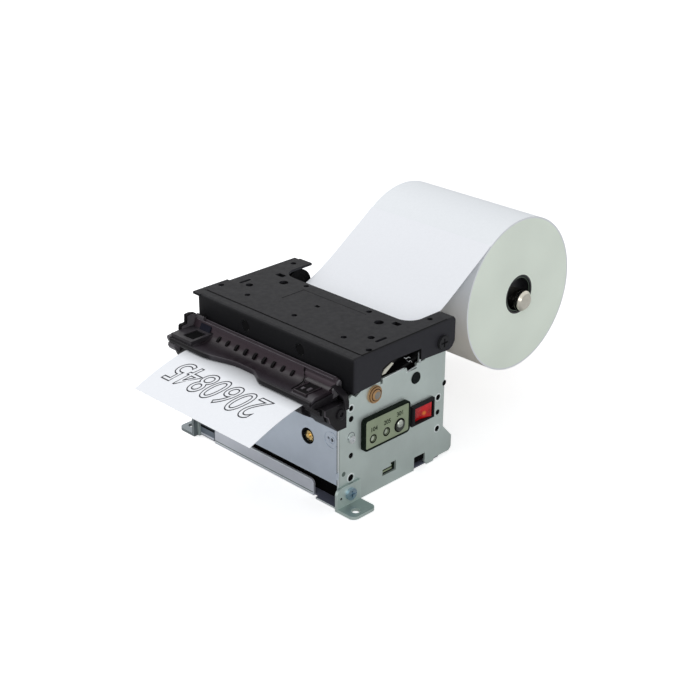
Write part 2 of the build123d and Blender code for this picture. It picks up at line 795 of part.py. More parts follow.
motor_back = cutter_plate + front_thick
with BuildPart() as cutter_motor:
    rod_y(motor_back, motor_back + cutter_motor_length, cutter_x, cutter_height, cutter_motor_diameter / 2)
    fillet(cutter_motor.edges().filter_by(GeomType.CIRCLE).group_by(Axis.Y)[-1], 1.2)
    rod_y(cutter_plate, motor_back, cutter_x, cutter_height, 3.5)
    rod_y(
        cutter_plate - 1, cutter_plate + cutter_shaft_reach + 0.5, cutter_x, cutter_height,
        1.0 + running, Mode.SUBTRACT,
    )
cutter_motor.part.label = "cutter_motor"
export_step(cutter_motor.part, "parts/cutter_motor.step")

# ---------------------------------------------------------------- latch lever, in the cover
latch_depth = 38.0
latch_height = cover_top - 6.1
latch_radius = 1.5
lever_right = cover_inner - 0.5
lever_left = lever_right - 2.6
hub_left = lever_left - 2.8
hub_reach = 2.2
pin_left = hub_left - 0.2
pin_head_thick = 0.8
# Lever outline, from its pin
lever_outline = [(-11.4, -7.8), (-8.4, -7.8), (2.4, -1.8), (2.6, 2.2), (-1.4, 2.6), (-10.6, -3.0)]
with BuildPart() as latch_pin:
    rod_x(pin_left, cover_inner, latch_depth, latch_height, latch_radius)
    rod_x(pin_left - pin_head_thick, pin_left, latch_depth, latch_height, latch_radius + 1.1)
latch_pin.part.label = "latch_pin"
export_step(latch_pin.part, "parts/latch_pin.step")

with BuildPart() as latch_lever:
    slab_x(lever_left, lever_right, [(latch_depth + x, latch_height + y) for x, y in lever_outline])
    block(
        hub_left, lever_left, latch_depth - hub_reach, latch_depth + hub_reach,
        latch_height - hub_reach, latch_height + hub_reach,
    )
    rod_x(pin_left - 1, lever_right + 1, latch_depth, latch_height, latch_radius + running, Mode.SUBTRACT)
latch_lever.part.label = "latch_lever"
export_step(latch_lever.part, "parts/latch_lever.step")

# ---------------------------------------------------------------- paper mouth
# Outlines of depth and height above the jaw's flat top
rib_pitch = 6.38
rib_count = 10
rib_first = -37.7
rib_width = 1.4
cheek_thick = 2.0
wing_thick = 2.6
jaw_right = 36.0
mouth_cut_reach = 15.0
floor_drop = mouth_floor - jaw_top
cheek_outline = [
    (6.2, 10.3), (2.8, 11.9), (0.1, 11.7), (-0.1, 7.7), (-3.6, 8.3), (-4.1, 5.9), (-10.9, 4.6),
    (-11.2, 3.2), (-9.7, 0.7), (-10.3, -0.7), (-10.1, -2.7), (-7.4, -5.4), (-4.1, -4.2), (6.2, 2.5),
]
shelf_outline = [
    (wall_front, 9.5), (wall_rear, 9.5), (wall_rear, 2.7), (shelf_front + 0.7, 1.2),
    (shelf_front, 1.6), (shelf_front, 3.1), (shelf_front + 0.4, 3.5), (2.2, 3.9),
    (4.4, 5.1), (wall_front, 7.5),
]
wing_outline = [
    (5.1, 8.1), (6.6, 8.7), (wall_rear, 7.5), (wall_rear - 0.1, 4.1), (wall_rear, 1.1),
    (5.0, 0.7), (4.6, 2.9), (5.6, 4.9),
]
foot_outline = [(-7.0, 0), (5.0, 0), (5.0, 3.1), (-7.0, 2.1)]
with BuildPart() as mouth_upper:
    slab_x(mouth_left, mouth_right, raised(shelf_outline, jaw_top))
    slab_x(mouth_left - cheek_thick, mouth_left, raised(cheek_outline, jaw_top))
    slab_x(mouth_right, mouth_right + wing_thick, raised(wing_outline, jaw_top))
    # The front edge steps back where a hand takes the receipt
    with BuildSketch(level_plane(jaw_top)):
        with BuildLine():
            wave = Spline((-30.0, shelf_front), (-21.0, -8.6), (-8.0, -6.6), (4.0, -7.0), (13.0, shelf_front))
            Polyline(wave @ 1, (13.0, shelf_front - 4), (-30.0, shelf_front - 4), wave @ 0)
        make_face()
    extrude(amount=mouth_cut_reach, mode=Mode.SUBTRACT)
    for rib in range(rib_count):
        rib_x = rib_first + rib_pitch * rib
        block(rib_x - rib_width / 2, rib_x + rib_width / 2, 2.2, 4.8, jaw_top, jaw_top + 6.5, Mode.SUBTRACT)
    block(-50.4, -44.0, -4.0, 2.0, jaw_top, jaw_top + 6.5, Mode.SUBTRACT)
    # Feet beside the paper carry the upper half on the lower one
    for low_x, high_x in ((mouth_left, mouth_left + 1.6), (paper_half + 1.6, mouth_right)):
        slab_x(low_x, high_x, raised(foot_outline, jaw_top))
mouth_upper.part.label = "mouth_upper"
export_step(mouth_upper.part, "parts/mouth_upper.step")

with BuildPart() as mouth_lower:
    slab_x(mouth_left, jaw_right, raised([
        (6.0, -9.5), (-3.0, -9.5), (-6.6, -7.1), (-7.6, -5.1), (-7.6, 0), (5.0, 0), (6.0, -1.5),
    ], jaw_top))
    slab_x(jaw_right, half, raised([
        (mouth_notch - 0.1, floor_drop), (1.0, floor_drop), (-3.6, -7.5), (-4.6, -4.5), (-7.0, -3.1),
        (-7.0, 0), (5.1, 0), (mouth_notch - 0.1, -0.9),
    ], jaw_top))
    slab_x(-half, -jaw_right, raised([
        (mouth_notch - 0.1, floor_drop), (1.0, floor_drop), (-3.6, -7.5), (6.0, -7.5),
    ], jaw_top))
mouth_lower.part.label = "mouth_lower"
export_step(mouth_lower.part, "parts/mouth_lower.step")

# ---------------------------------------------------------------- platen and its drive
bush_flange = 0.9
shaft_end = half + bush_flange + 1.4
groove_radius = shaft_radius - 0.5
clip_at = half + bush_flange + running
clip_thick = 0.6
with BuildPart() as platen_roller:
    rod_x(-platen_half, platen_half, *platen_at, platen_radius)
    rod_x(-platen_half, platen_half, *platen_at, shaft_radius, Mode.SUBTRACT)
platen_roller.part.label = "platen_roller"
export_step(platen_roller.part, "parts/platen_roller.step")

with BuildPart() as platen_shaft:
    rod_x(-shaft_end, shaft_end, *platen_at, shaft_radius)
    chamfer(platen_shaft.edges().filter_by(GeomType.CIRCLE), shaft_chamfer)
    for side in (-1, 1):
        with BuildSketch(side_plane(min(side * clip_at, side * (clip_at + clip_thick)))):
            disc(*platen_at, shaft_radius + 1)
            disc(*platen_at, groove_radius, Mode.SUBTRACT)
        extrude(amount=clip_thick, mode=Mode.SUBTRACT)
platen_shaft.part.label = "platen_shaft"
export_step(platen_shaft.part, "parts/platen_shaft.step")

with BuildPart() as platen_bushes:
    mirrored_rod(half, half + bush_flange, *platen_at, bush_diameter / 2)
    mirrored_rod(inner, half, *platen_at, bush_diameter / 2 - bush_lip)
    rod_x(-shaft_end, shaft_end, *platen_at, shaft_radius + running, Mode.SUBTRACT)
platen_bushes.part.label = "platen_bushes"
export_step(platen_bushes.part, "parts/platen_bushes.step")

with BuildPart() as e_clips:
    for side in (-1, 1):
        with BuildSketch(side_plane(min(side * clip_at, side * (clip_at + clip_thick)))):
            disc(*platen_at, shaft_radius + 1.2)
            disc(*platen_at, groove_radius, Mode.SUBTRACT)
            with Locations((platen_at[0] + 3.0, platen_at[1])):
                Rectangle(6.0, 2 * groove_radius * 0.8, mode=Mode.SUBTRACT)
        extrude(amount=clip_thick)
e_clips.part.label = "e_clips"
export_step(e_clips.part, "parts/e_clips.step")


def spur_gear(teeth, centre, tooth_angle, bore):
    """Gear of the left-hand train, on its shaft or stud."""
    with BuildPart() as gear:
        with BuildSketch(side_plane(gear_left)):
            with BuildLine():
                Polyline(*gear_points(teeth, centre, tooth_angle), close=True)
            make_face()
            disc(*centre, bore, Mode.SUBTRACT)
        extrude(amount=gear_width)
    return gear


platen_gear = spur_gear(platen_teeth, platen_at, first_angle, shaft_radius)
platen_gear.part.label = "platen_gear"
export_step(platen_gear.part, "parts/platen_gear.step")

idler_gear = spur_gear(idler_teeth, idler_at, idler_tooth, idler_radius + running)
idler_gear.part.label = "idler_gear"
export_step(idler_gear.part, "parts/idler_gear.step")

motor_pinion = spur_gear(pinion_teeth, motor_at, pinion_tooth, motor_shaft_radius)
motor_pinion.part.label = "motor_pinion"
export_step(motor_pinion.part, "parts/motor_pinion.step")

with BuildPart() as idler_stud:
    rod_x(-half, gear_right + 0.2, *idler_at, idler_radius)
    rod_x(gear_right + 0.2, gear_right + 1.0, *idler_at, idler_radius + 1.0)
idler_stud.part.label = "idler_stud"
export_step(idler_stud.part, "parts/idler_stud.step")

bracket_x = gear_right + 1.8
motor_face = bracket_x + front_thick
with BuildPart() as motor_shaft:
    rod_x(gear_left, motor_face + 10.0, *motor_at, motor_shaft_radius)
motor_shaft.part.label = "motor_shaft"
export_step(motor_shaft.part, "parts/motor_shaft.step")

motor_boss = 5.0
with BuildPart() as stepper_motor:
    rod_x(motor_face, motor_face + motor_length, *motor_at, motor_diameter / 2)
    rod_x(bracket_x, motor_face, *motor_at, motor_boss)
    rod_x(bracket_x - 1, motor_face + 10.5, *motor_at, motor_shaft_radius + running, Mode.SUBTRACT)
stepper_motor.part.label = "stepper_motor"
export_step(stepper_motor.part, "parts/stepper_motor.step")

motor_plate = motor_diameter / 2 + 2.0
with BuildPart() as motor_bracket:
    block(
        bracket_x, motor_face, motor_depth - motor_plate, motor_depth + motor_plate,
        tray_thick, motor_height + motor_diameter / 2,
    )
    block(
        motor_face, motor_face + 12.0, motor_depth - motor_plate, motor_depth + motor_plate,
        tray_thick, tray_thick + front_thick,
    )
    rod_x(bracket_x - 1, motor_face + 1, *motor_at, motor_boss, Mode.SUBTRACT)
motor_bracket.part.label = "motor_bracket"
export_step(motor_bracket.part, "parts/motor_bracket.step")

# ---------------------------------------------------------------- control board and connectors
board_left = -12.0
board_right = 46.0
board_front = 28.0
board_rear = rear_at - 1.0
usb_front = 31.0
usb_rear = 39.4
with BuildPart() as control_board:
    block(board_left, board_right, board_front, board_rear, board_low, board_high)
control_board.part.label = "control_board"
export_step(control_board.part, "parts/control_board.step")

with BuildPart() as board_standoffs:
    for x in (board_left + 4, board_right - 4):
        for depth in (board_front + 4, board_rear - 4):
            with BuildSketch(level_plane(tray_thick)):
                disc(x, depth, 2.5)
            extrude(amount=board_low - tray_thick)
board_standoffs.part.label = "board_standoffs"
export_step(board_standoffs.part, "parts/board_standoffs.step")

with BuildPart() as usb_connector:
    block(inner - 12.0, inner - clear, usb_front, usb_rear, board_high, board_high + 4.2)
    block(inner - 9.0, inner + 1, usb_front + 1, usb_rear - 1, board_high + 0.8, board_high + 3.4, Mode.SUBTRACT)
usb_connector.part.label = "usb_connector"
export_step(usb_connector.part, "parts/usb_connector.step")


def rear_socket(low_x, high_x):
    """Shrouded connector at the board's rear edge, open to the back."""
    with BuildPart() as socket:
        block(low_x, high_x, rear_at - 8.0, rear_at + front_thick + 0.5, board_high, board_high + connector_height)
        block(
            low_x + 1.4, high_x - 1.4, rear_at - 5.0, rear_at + 5.0,
            board_high + 1.4, board_high + connector_height - 1.4, Mode.SUBTRACT,
        )
    return socket


serial_connector = rear_socket(*serial_x)
serial_connector.part.label = "serial_connector"
export_step(serial_connector.part, "parts/serial_connector.step")

power_connector = rear_socket(*power_x)
power_connector.part.label = "power_connector"
export_step(power_connector.part, "parts/power_connector.step")

# ---------------------------------------------------------------- status panel and feed button
led_places = [(21.7, 29.9), (30.5, 30.2)]
button_at = (39.2, 30.4)
status_inside = half - 4.0
status_skin = 1.4
with BuildPart() as status_panel:
    block(half, half + status_proud, status_front, status_rear, status_low, status_high)
    fillet(status_panel.edges().filter_by(Axis.X), 1.8)
    block(
        status_inside, half, status_front + status_wall + clear, status_rear - status_wall - clear,
        status_low + status_wall + clear, status_high - status_wall - clear,
    )
    block(
        status_inside - 1, half + status_proud - status_skin,
        status_front + status_wall + 0.8, status_rear - status_wall - 0.8,
        status_low + status_wall + 0.8, status_high - status_wall - 0.8, Mode.SUBTRACT,
    )
    for depth, height in led_places:
        rod_x(half, half + 5, depth, height, led_diameter / 2 + led_recess, Mode.SUBTRACT)
    rod_x(half, half + 5, *button_at, button_diameter / 2 + button_recess, Mode.SUBTRACT)
status_panel.part.label = "status_panel"
export_step(status_panel.part, "parts/status_panel.step")

status_board_x = status_inside - 1.2
with BuildPart() as status_board:
    block(
        status_board_x, status_inside, status_front + status_wall + 0.6, status_rear - status_wall - 0.6,
        status_low + status_wall + 0.6, status_high - status_wall - 0.6,
    )
status_board.part.label = "status_board"
export_step(status_board.part, "parts/status_board.step")

with BuildPart() as status_leds:
    for depth, height in led_places:
        rod_x(status_inside, half + status_proud - 0.4, depth, height, led_diameter / 2)
        led_tip = status_leds.edges().filter_by(GeomType.CIRCLE).group_by(Axis.X)[-1]
    fillet(led_tip, 0.6)
status_leds.part.label = "status_leds"
export_step(status_leds.part, "parts/status_leds.step")

button_seat = half + status_proud - status_skin
with BuildPart() as feed_button:
    rod_x(button_seat - 0.9, half + status_proud + 1.0, *button_at, button_diameter / 2)
    fillet(feed_button.edges().filter_by(GeomType.CIRCLE).group_by(Axis.X)[-1], 0.5)
    rod_x(button_seat - 0.9, button_seat - 0.1, *button_at, button_diameter / 2 + 2 * button_recess)
    rod_x(status_inside + button_travel + 0.3, button_seat - 0.9, *button_at, 1.4)
feed_button.part.label = "feed_button"
export_step(feed_button.part, "parts/feed_button.step")

# ---------------------------------------------------------------- power switch
rocker_radius = 6.2
rocker_half = 3.9
pivot_x = half - 1.4
cavity_half = rocker_radius + 0.1
with BuildPart() as switch_bezel:
    block(
        half, half + switch_proud, switch_front, switch_front + switch_width,
        switch_low, switch_low + switch_height,
    )
    chamfer(switch_bezel.faces().sort_by(Axis.X)[-1].edges(), 0.5)
    block(
        half - 12.0, half, switch_front + switch_wall + clear, switch_front + switch_width - switch_wall - clear,
        switch_low + switch_wall + clear, switch_low + switch_height - switch_wall - clear,
    )
    block(
        half - 8.0, half + 5, switch_middle - cavity_half, switch_middle + cavity_half,
        switch_centre_height - rocker_half - 0.1, switch_centre_height + rocker_half + 0.1, Mode.SUBTRACT,
    )
switch_bezel.part.label = "switch_bezel"
export_step(switch_bezel.part, "parts/switch_bezel.step")


def on_rocker(degrees):
    """Point of the rocker's round ends, in depth and X."""
    angle = math.radians(degrees)
    return (switch_middle + rocker_radius * math.cos(angle), pivot_x + rocker_radius * math.sin(angle))


def round_end(first, last):
    """Arc of the rocker's round ends, centred on its pivot."""
    ThreePointArc(on_rocker(first), on_rocker((first + last) / 2), on_rocker(last))


rocker_plane = Plane(
    origin=(0, front_y, switch_centre_height - rocker_half), x_dir=(0, 1, 0), z_dir=(0, 0, -1),
)
low_end = 25.0
high_corner = 30.0
low_corner = high_corner - rocker_swing
with BuildPart() as power_rocker:
    with BuildSketch(rocker_plane):
        with BuildLine():
            round_end(-low_end, high_corner)
            Polyline(on_rocker(high_corner), (switch_middle, pivot_x + 1.5), on_rocker(180 - low_corner))
            round_end(180 - low_corner, 180 + low_end)
            Line(on_rocker(180 + low_end), on_rocker(-low_end))
        make_face()
    extrude(amount=-2 * rocker_half)
power_rocker.part.label = "power_rocker"
export_step(power_rocker.part, "parts/power_rocker.step")

# ---------------------------------------------------------------- paper roll and its holder
roll_at = (roll_depth, roll_height)
spindle_at = (roll_depth + 0.5, spindle_height)
with BuildPart() as paper_roll:
    rod_x(-paper_half, paper_half, *roll_at, roll_radius)
    rod_x(-paper_half, paper_half, *roll_at, core_radius, Mode.SUBTRACT)
paper_roll.part.label = "paper_roll"
export_step(paper_roll.part, "parts/paper_roll.step")

with BuildPart() as roll_core:
    rod_x(-paper_half, paper_half, *roll_at, core_radius)
    rod_x(-paper_half, paper_half, *roll_at, core_bore, Mode.SUBTRACT)
roll_core.part.label = "roll_core"
export_step(roll_core.part, "parts/roll_core.step")

hub_recess = 5.0
bracket_inner = -half
with BuildPart() as roll_hub:
    rod_x(bracket_inner, paper_half - hub_recess, *roll_at, core_bore - running)
    rod_x(bracket_inner, paper_half, *spindle_at, spindle_diameter / 2 + running, Mode.SUBTRACT)
roll_hub.part.label = "roll_hub"
export_step(roll_hub.part, "parts/roll_hub.step")

with BuildPart() as spindle:
    rod_x(bracket_inner - bracket_thick, paper_half + spindle_proud, *spindle_at, spindle_diameter / 2)
    chamfer(spindle.edges().filter_by(GeomType.CIRCLE).group_by(Axis.X)[-1], 1.2)
spindle.part.label = "spindle"
export_step(spindle.part, "parts/spindle.step")

bracket_foot = 14.0
bracket_rear = roll_depth + 12.6
foot_front = bracket_rear - 34.0
# The arm starts on the side panel and rises to an ear round the spindle
arm_outline = [(frame_depth - 12.6, 12.0), (frame_depth - 12.6, 40.0), (frame_depth + 11.4, 44.0)]
ear_outline = raised([
    (roll_depth - 27.4, -4.0), (roll_depth - 11.4, 8.0), (roll_depth - 3.4, 12.0),
    (roll_depth + 6.6, 10.0), (bracket_rear, 2.0),
], spindle_height)
leg_outline = [(bracket_rear, 0.0), (foot_front, 0.0), (foot_front - 6.0, 12.0)]
with BuildPart() as roll_bracket:
    slab_x(bracket_inner - bracket_thick, bracket_inner, arm_outline + ear_outline + leg_outline)
    block(bracket_inner, bracket_inner + bracket_foot, foot_front, bracket_rear, 0.0, bracket_thick)
    rod_x(-frame_width, 0, *spindle_at, spindle_diameter / 2, Mode.SUBTRACT)
    for depth, height, radius in (rear_holes[0], rear_holes[2]):
        rod_x(-frame_width, 0, depth, height, screw_radius, Mode.SUBTRACT)
roll_bracket.part.label = "roll_bracket"
export_step(roll_bracket.part, "parts/roll_bracket.step")

# ---------------------------------------------------------------- paper path
cut_gap = 0.3
cut_slope = 0.078
print_line = (platen_depth, paper_over_platen)
web_front = blade_depth + blade_thick + cut_gap
receipt_rear = blade_depth - cut_gap
leave_angle = math.radians(127)
leave_reach = roll_radius + soft_clear + paper_thick / 2
leave_point = (
    roll_depth + leave_reach * math.cos(leave_angle),
    roll_height + leave_reach * math.sin(leave_angle),
)
leave_slope = (math.sin(leave_angle), -math.cos(leave_angle))


def paper_strip(curve):
    """Sheet of paper across the full width, along a curve in the depth-height plane."""
    with BuildPart() as sheet:
        with BuildSketch(side_plane(-paper_half)):
            with BuildLine() as middle:
                curve()
            trace(middle.line, line_width=paper_thick)
        extrude(amount=paper_width)
    return sheet


def web_curve():
    """From the blades over the platen, the guide plate and the guide rod, up to the roll."""
    before_platen = (web_front, print_line[1] - cut_slope * (print_line[0] - web_front))
    over_rod = math.radians(112)
    rod_reach = guide_radius + soft_clear + paper_thick
    at_rod = (guide_depth + rod_reach * math.cos(over_rod), guide_height + rod_reach * math.sin(over_rod))
    rise = (leave_point[0] - at_rod[0], leave_point[1] - at_rod[1])
    sagging = [(at_rod[0] + along * rise[0], at_rod[1] + up * rise[1]) for along, up in ((0.32, 0.25), (0.71, 0.67))]
    Spline(
        before_platen, print_line, (head_rear + 1.5, print_line[1] + clear),
        (sensor_front, plate_top(sensor_front) + 0.75), at_rod, *sagging, leave_point,
        tangents=[(1, cut_slope), leave_slope],
    )


def receipt_curve():
    height_at_cut = print_line[1] - cut_slope * (print_line[0] - receipt_rear)
    Spline(
        (receipt_rear, height_at_cut), (-12.0, jaw_top + 0.45), (-27.0, jaw_top - 3.2), (-41.7, jaw_top - 8.7),
        tangents=[(-1, -cut_slope), (-1, -0.4)],
    )


paper_web = paper_strip(web_curve)
paper_web.part.label = "paper_web"
export_step(paper_web.part, "parts/paper_web.step")

receipt = paper_strip(receipt_curve)
receipt.part.label = "receipt"
export_step(receipt.part, "parts/receipt.step")
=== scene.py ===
"""Looks of the kiosk receipt printer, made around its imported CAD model. Metres throughout."""
import bpy
import bmesh
import math
from mathutils import Matrix, Vector
from mathutils.bvhtree import BVHTree


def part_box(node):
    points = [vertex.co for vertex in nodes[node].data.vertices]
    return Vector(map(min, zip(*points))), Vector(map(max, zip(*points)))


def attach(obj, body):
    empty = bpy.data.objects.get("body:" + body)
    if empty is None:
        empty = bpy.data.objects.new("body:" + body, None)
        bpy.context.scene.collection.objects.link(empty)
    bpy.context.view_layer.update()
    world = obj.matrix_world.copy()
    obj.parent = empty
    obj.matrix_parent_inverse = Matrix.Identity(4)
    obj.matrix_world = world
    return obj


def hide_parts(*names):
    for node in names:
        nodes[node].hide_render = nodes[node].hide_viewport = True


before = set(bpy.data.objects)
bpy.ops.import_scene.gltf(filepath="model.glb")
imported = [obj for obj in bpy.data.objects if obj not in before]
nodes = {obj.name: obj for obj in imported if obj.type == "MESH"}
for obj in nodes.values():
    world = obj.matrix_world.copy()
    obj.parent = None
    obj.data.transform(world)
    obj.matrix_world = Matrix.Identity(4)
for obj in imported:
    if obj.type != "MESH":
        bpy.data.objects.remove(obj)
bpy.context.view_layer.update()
MM = 0.001


# ---- places read from the frame
def box_of(node):
    low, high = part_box(node)
    return Vector(low), Vector(high)


def middle_of(node):
    low, high = box_of(node)
    return (low + high) / 2


panel_low, panel_high = box_of("side_panel_right")
cover_low, cover_high = box_of("top_cover")
roll_low, roll_high = box_of("paper_roll")
roll_centre = middle_of("paper_roll")
roll_radius = (roll_high.z - roll_low.z) / 2

DATUM_Y = -0.005
PANEL_OUTER = panel_high.x / MM
PANEL_INNER = panel_low.x / MM
PANEL_FRONT = (panel_low.y - DATUM_Y) / MM
COVER_TOP = cover_high.z / MM
COVER_RIGHT = cover_high.x / MM
MOUTH_RIM = -11.2
MOUTH_BACK = 7.3
# Place of the rocker's painted amber glow.
GLOW_SPOT = (51.0, 57.8, 29.2)
# Depths between which the rim's painted shadow fades in on the receipt.
RIM_SHADOW_BAND = (-17.0, -6.0)


def at(x, depth, height):
    """Point in metres from millimetres: depth is measured back from a datum ahead of the foot holes."""
    return Vector((x * MM, DATUM_Y + depth * MM, height * MM))


# ---- material helpers
def srgb(red, green, blue):
    """Linear colour from 0-255 display values."""
    def linear(value):
        value /= 255
        return value / 12.92 if value <= 0.04045 else ((value + 0.055) / 1.055) ** 2.4
    return (linear(red), linear(green), linear(blue), 1.0)


def tinted(colour, factor):
    return (colour[0] * factor, colour[1] * factor, colour[2] * factor, 1.0)


def feed(tree, socket, value):
    """Set an input to a value, or link another node's output to it."""
    if hasattr(value, "is_linked"):
        tree.links.new(value, socket)
    else:
        socket.default_value = value


def new_node(tree, kind, inputs=None, **settings):
    """Node with some settings, and inputs that are values or other nodes' outputs."""
    made = tree.nodes.new(kind)
    for key, value in settings.items():
        setattr(made, key, value)
    for key, value in (inputs or {}).items():
        feed(tree, made.inputs[key], value)
    return made


class Surface:
    """One procedural material: a Principled shader with node chains added by name."""

    def __init__(self, name, colour, rough, metallic=0.0, spec=0.5, ior=1.5):
        self.mat = bpy.data.materials.new(name)
        self.mat.use_nodes = True
        self.tree = self.mat.node_tree
        self.shader = self.tree.nodes["Principled BSDF"]
        self.colour = colour
        self.rough = rough
        self.set("Base Color", colour)
        self.set("Roughness", rough)
        self.set("Metallic", metallic)
        self.set("Specular IOR Level", spec)
        self.set("IOR", ior)
        self.coords = self.node("ShaderNodeTexCoord")["Object"]
        self.normal = None
        self.base = colour

    def node(self, kind, inputs=None, **settings):
        """Outputs of a new node."""
        return new_node(self.tree, kind, inputs, **settings).outputs

    def set(self, socket, value):
        feed(self.tree, self.shader.inputs[socket], value)

    def maths(self, operation, *factors):
        """Result of a maths node on one or two factors."""
        return self.node("ShaderNodeMath", dict(enumerate(factors)), operation=operation)[0]

    def moved(self, location=(0.0, 0.0, 0.0), scale=(1.0, 1.0, 1.0)):
        """Object coordinates scaled, then moved."""
        inputs = {"Vector": self.coords, "Location": location, "Scale": scale}
        return self.node("ShaderNodeMapping", inputs)[0]

    def places(self):
        """X, Y and Z of the object coordinates."""
        return self.node("ShaderNodeSeparateXYZ", {0: self.coords})

    def facing(self):
        """X, Y and Z of the normal."""
        return self.node("ShaderNodeSeparateXYZ", {0: self.node("ShaderNodeTexCoord")["Normal"]})

    def noise(self, scale, detail=3.0, stretch=None):
        """Noise factor at a scale in features per metre, optionally stretched along an axis."""
        coords = self.moved(scale=stretch) if stretch else self.coords
        inputs = {"Vector": coords, "Scale": scale, "Detail": detail, "Roughness": 0.55}
        return self.node("ShaderNodeTexNoise", inputs)["Fac"]

    def ramp(self, factor, low, high, from_low=0.3, from_high=0.7):
        """Map a factor's middle range to low..high."""
        limits = {"From Min": from_low, "From Max": from_high, "To Min": low, "To Max": high}
        return self.node("ShaderNodeMapRange", {"Value": factor, **limits})["Result"]

    def mix(self, factor, first, second):
        """Blend of two colours."""
        return self.node("ShaderNodeMix", {0: factor, 6: first, 7: second}, data_type="RGBA")[2]

    def paint(self, colour):
        """Use a colour socket as the base colour."""
        self.base = colour
        self.set("Base Color", colour)

    def vary(self, scale, dark, light, **noise):
        """Broad colour variation of the base."""
        factor = self.ramp(self.noise(scale, **noise), 0.0, 1.0)
        self.paint(self.mix(factor, tinted(self.colour, dark), tinted(self.colour, light)))

    def spots(self, factor, colour):
        """A second colour laid over the base where factor is 1."""
        self.paint(self.mix(factor, self.base, colour))

    def vary_rough(self, scale, spread):
        self.set("Roughness", self.ramp(self.noise(scale), self.rough - spread, self.rough + spread))

    def bump(self, factor, height, strength):
        """Bump of a height in metres from a factor."""
        inputs = {"Strength": strength, "Distance": height, "Height": factor}
        if self.normal is not None:
            inputs["Normal"] = self.normal
        self.normal = self.node("ShaderNodeBump", inputs)["Normal"]
        self.set("Normal", self.normal)

    def paint_edge_shading(self, colour, radius, amount):
        """Another colour painted in patches where the surface turns sharply: a painted highlight where it is
        lighter, painted shade where it is darker.
        """
        edge = self.node("ShaderNodeBevel", {"Radius": radius}, samples=4)["Normal"]
        flat = self.node("ShaderNodeNewGeometry")["Normal"]
        dot = self.node("ShaderNodeVectorMath", {0: edge, 1: flat}, operation="DOT_PRODUCT")["Value"]
        turn = self.ramp(dot, amount, 0.0, 0.80, 0.985)
        patchy = self.ramp(self.noise(900.0, detail=2.0), 0.35, 1.0)
        self.spots(self.maths("MULTIPLY", turn, patchy), colour)


# ---- materials
def zinc_steel(name, colour):
    """Zinc-plated sheet: satin, faint rolling streaks and spangle, with painted highlights along its edges.
    """
    s = Surface(name, colour, 0.4, metallic=0.6, spec=0.5)
    s.vary(45.0, 0.93, 1.06, detail=4.0)
    s.vary_rough(220.0, 0.05)
    s.bump(s.noise(2600.0, detail=2.0, stretch=(1.0, 0.12, 1.0)), 0.00001, 0.5)
    # Painted highlight: edges take a lighter colour.
    s.paint_edge_shading(tinted(colour, 1.35), 0.0003, 0.5)
    return s.mat


def foot_steel(name, colour, top_shading_colour):
    """Zinc-plated foot whose upward-facing tab is painted another shade than its upright ear, as light falls
    on it, with painted highlights along its edges.
    """
    s = Surface(name, colour, 0.4, metallic=0.6, spec=0.5)
    s.vary(60.0, 0.9, 1.06, detail=4.0)
    # Painted light and shade: faces turned up take the top shading colour.
    s.spots(s.ramp(s.facing()["Z"], 0.0, 1.0, 0.6, 0.95), top_shading_colour)
    s.vary_rough(260.0, 0.05)
    s.bump(s.noise(2200.0, detail=2.0), 0.00001, 0.5)
    s.paint_edge_shading(tinted(colour, 1.5), 0.0004, 0.9)
    return s.mat


def black_paint(name, colour, rough, faces=None):
    """Powder-coated steel: fine orange-peel; its front and side may be painted another shade for the light
    that falls on them, and its bends painted dark as a reflection of dark surroundings.
    """
    s = Surface(name, colour, rough, spec=0.12)
    s.vary(60.0, 0.9, 1.1, detail=4.0)
    s.vary_rough(400.0, 0.05)
    s.bump(s.noise(2400.0, detail=2.0), 0.000012, 0.4)
    # Painted light and shade by facing: front and side take their own multiples of the colour.
    if faces:
        facing = s.facing()
        front, side = faces
        s.spots(s.ramp(facing["Y"], 1.0, 0.0, -0.9, -0.4), tinted(colour, front))
        s.spots(s.ramp(facing["X"], 0.0, 1.0, 0.4, 0.9), tinted(colour, side))
    # Painted reflection: bends painted near black.
    s.paint_edge_shading(tinted(colour, 0.2), 0.0005, 0.9)
    return s.mat


def bright_metal(name, colour, rough, brushed=(1.0, 1.0, 1.0)):
    """Machined or plated metal, brushed along one axis."""
    s = Surface(name, colour, rough, metallic=1.0)
    s.vary(300.0, 0.90, 1.05)
    s.vary_rough(900.0, 0.07)
    s.bump(s.noise(3000.0, stretch=brushed), 0.00001, 0.5)
    # Painted highlight: edges a little lighter.
    s.paint_edge_shading(tinted(colour, 1.1), 0.0002, 0.4)
    return s.mat


def moulded(name, colour, rough=0.45, spec=0.45, grain=0.00002):
    """Moulded plastic with a fine spark-eroded grain."""
    s = Surface(name, colour, rough, spec=spec)
    s.vary(80.0, 0.92, 1.08)
    s.vary_rough(500.0, 0.05)
    s.bump(s.noise(3500.0, detail=2.0), grain, 0.5)
    return s.mat


def smoked(name, colour, clear, edge=None):
    """Smoked translucent plastic, brown-purple, with slight flow marks and an edge colour painted along its
    edges: painted shade where darker, a painted highlight where lighter.
    """
    s = Surface(name, colour, 0.34, spec=0.16, ior=1.49)
    s.set("Transmission Weight", clear)
    s.vary(160.0, 0.75, 1.2)
    # Painted shade along the edges when the edge colour is darker, a painted highlight when lighter.
    if edge:
        s.paint_edge_shading(edge, 0.0004, 0.9)
    s.vary_rough(260.0, 0.06)
    s.bump(s.noise(700.0, detail=2.0), 0.00003, 0.4)
    return s.mat


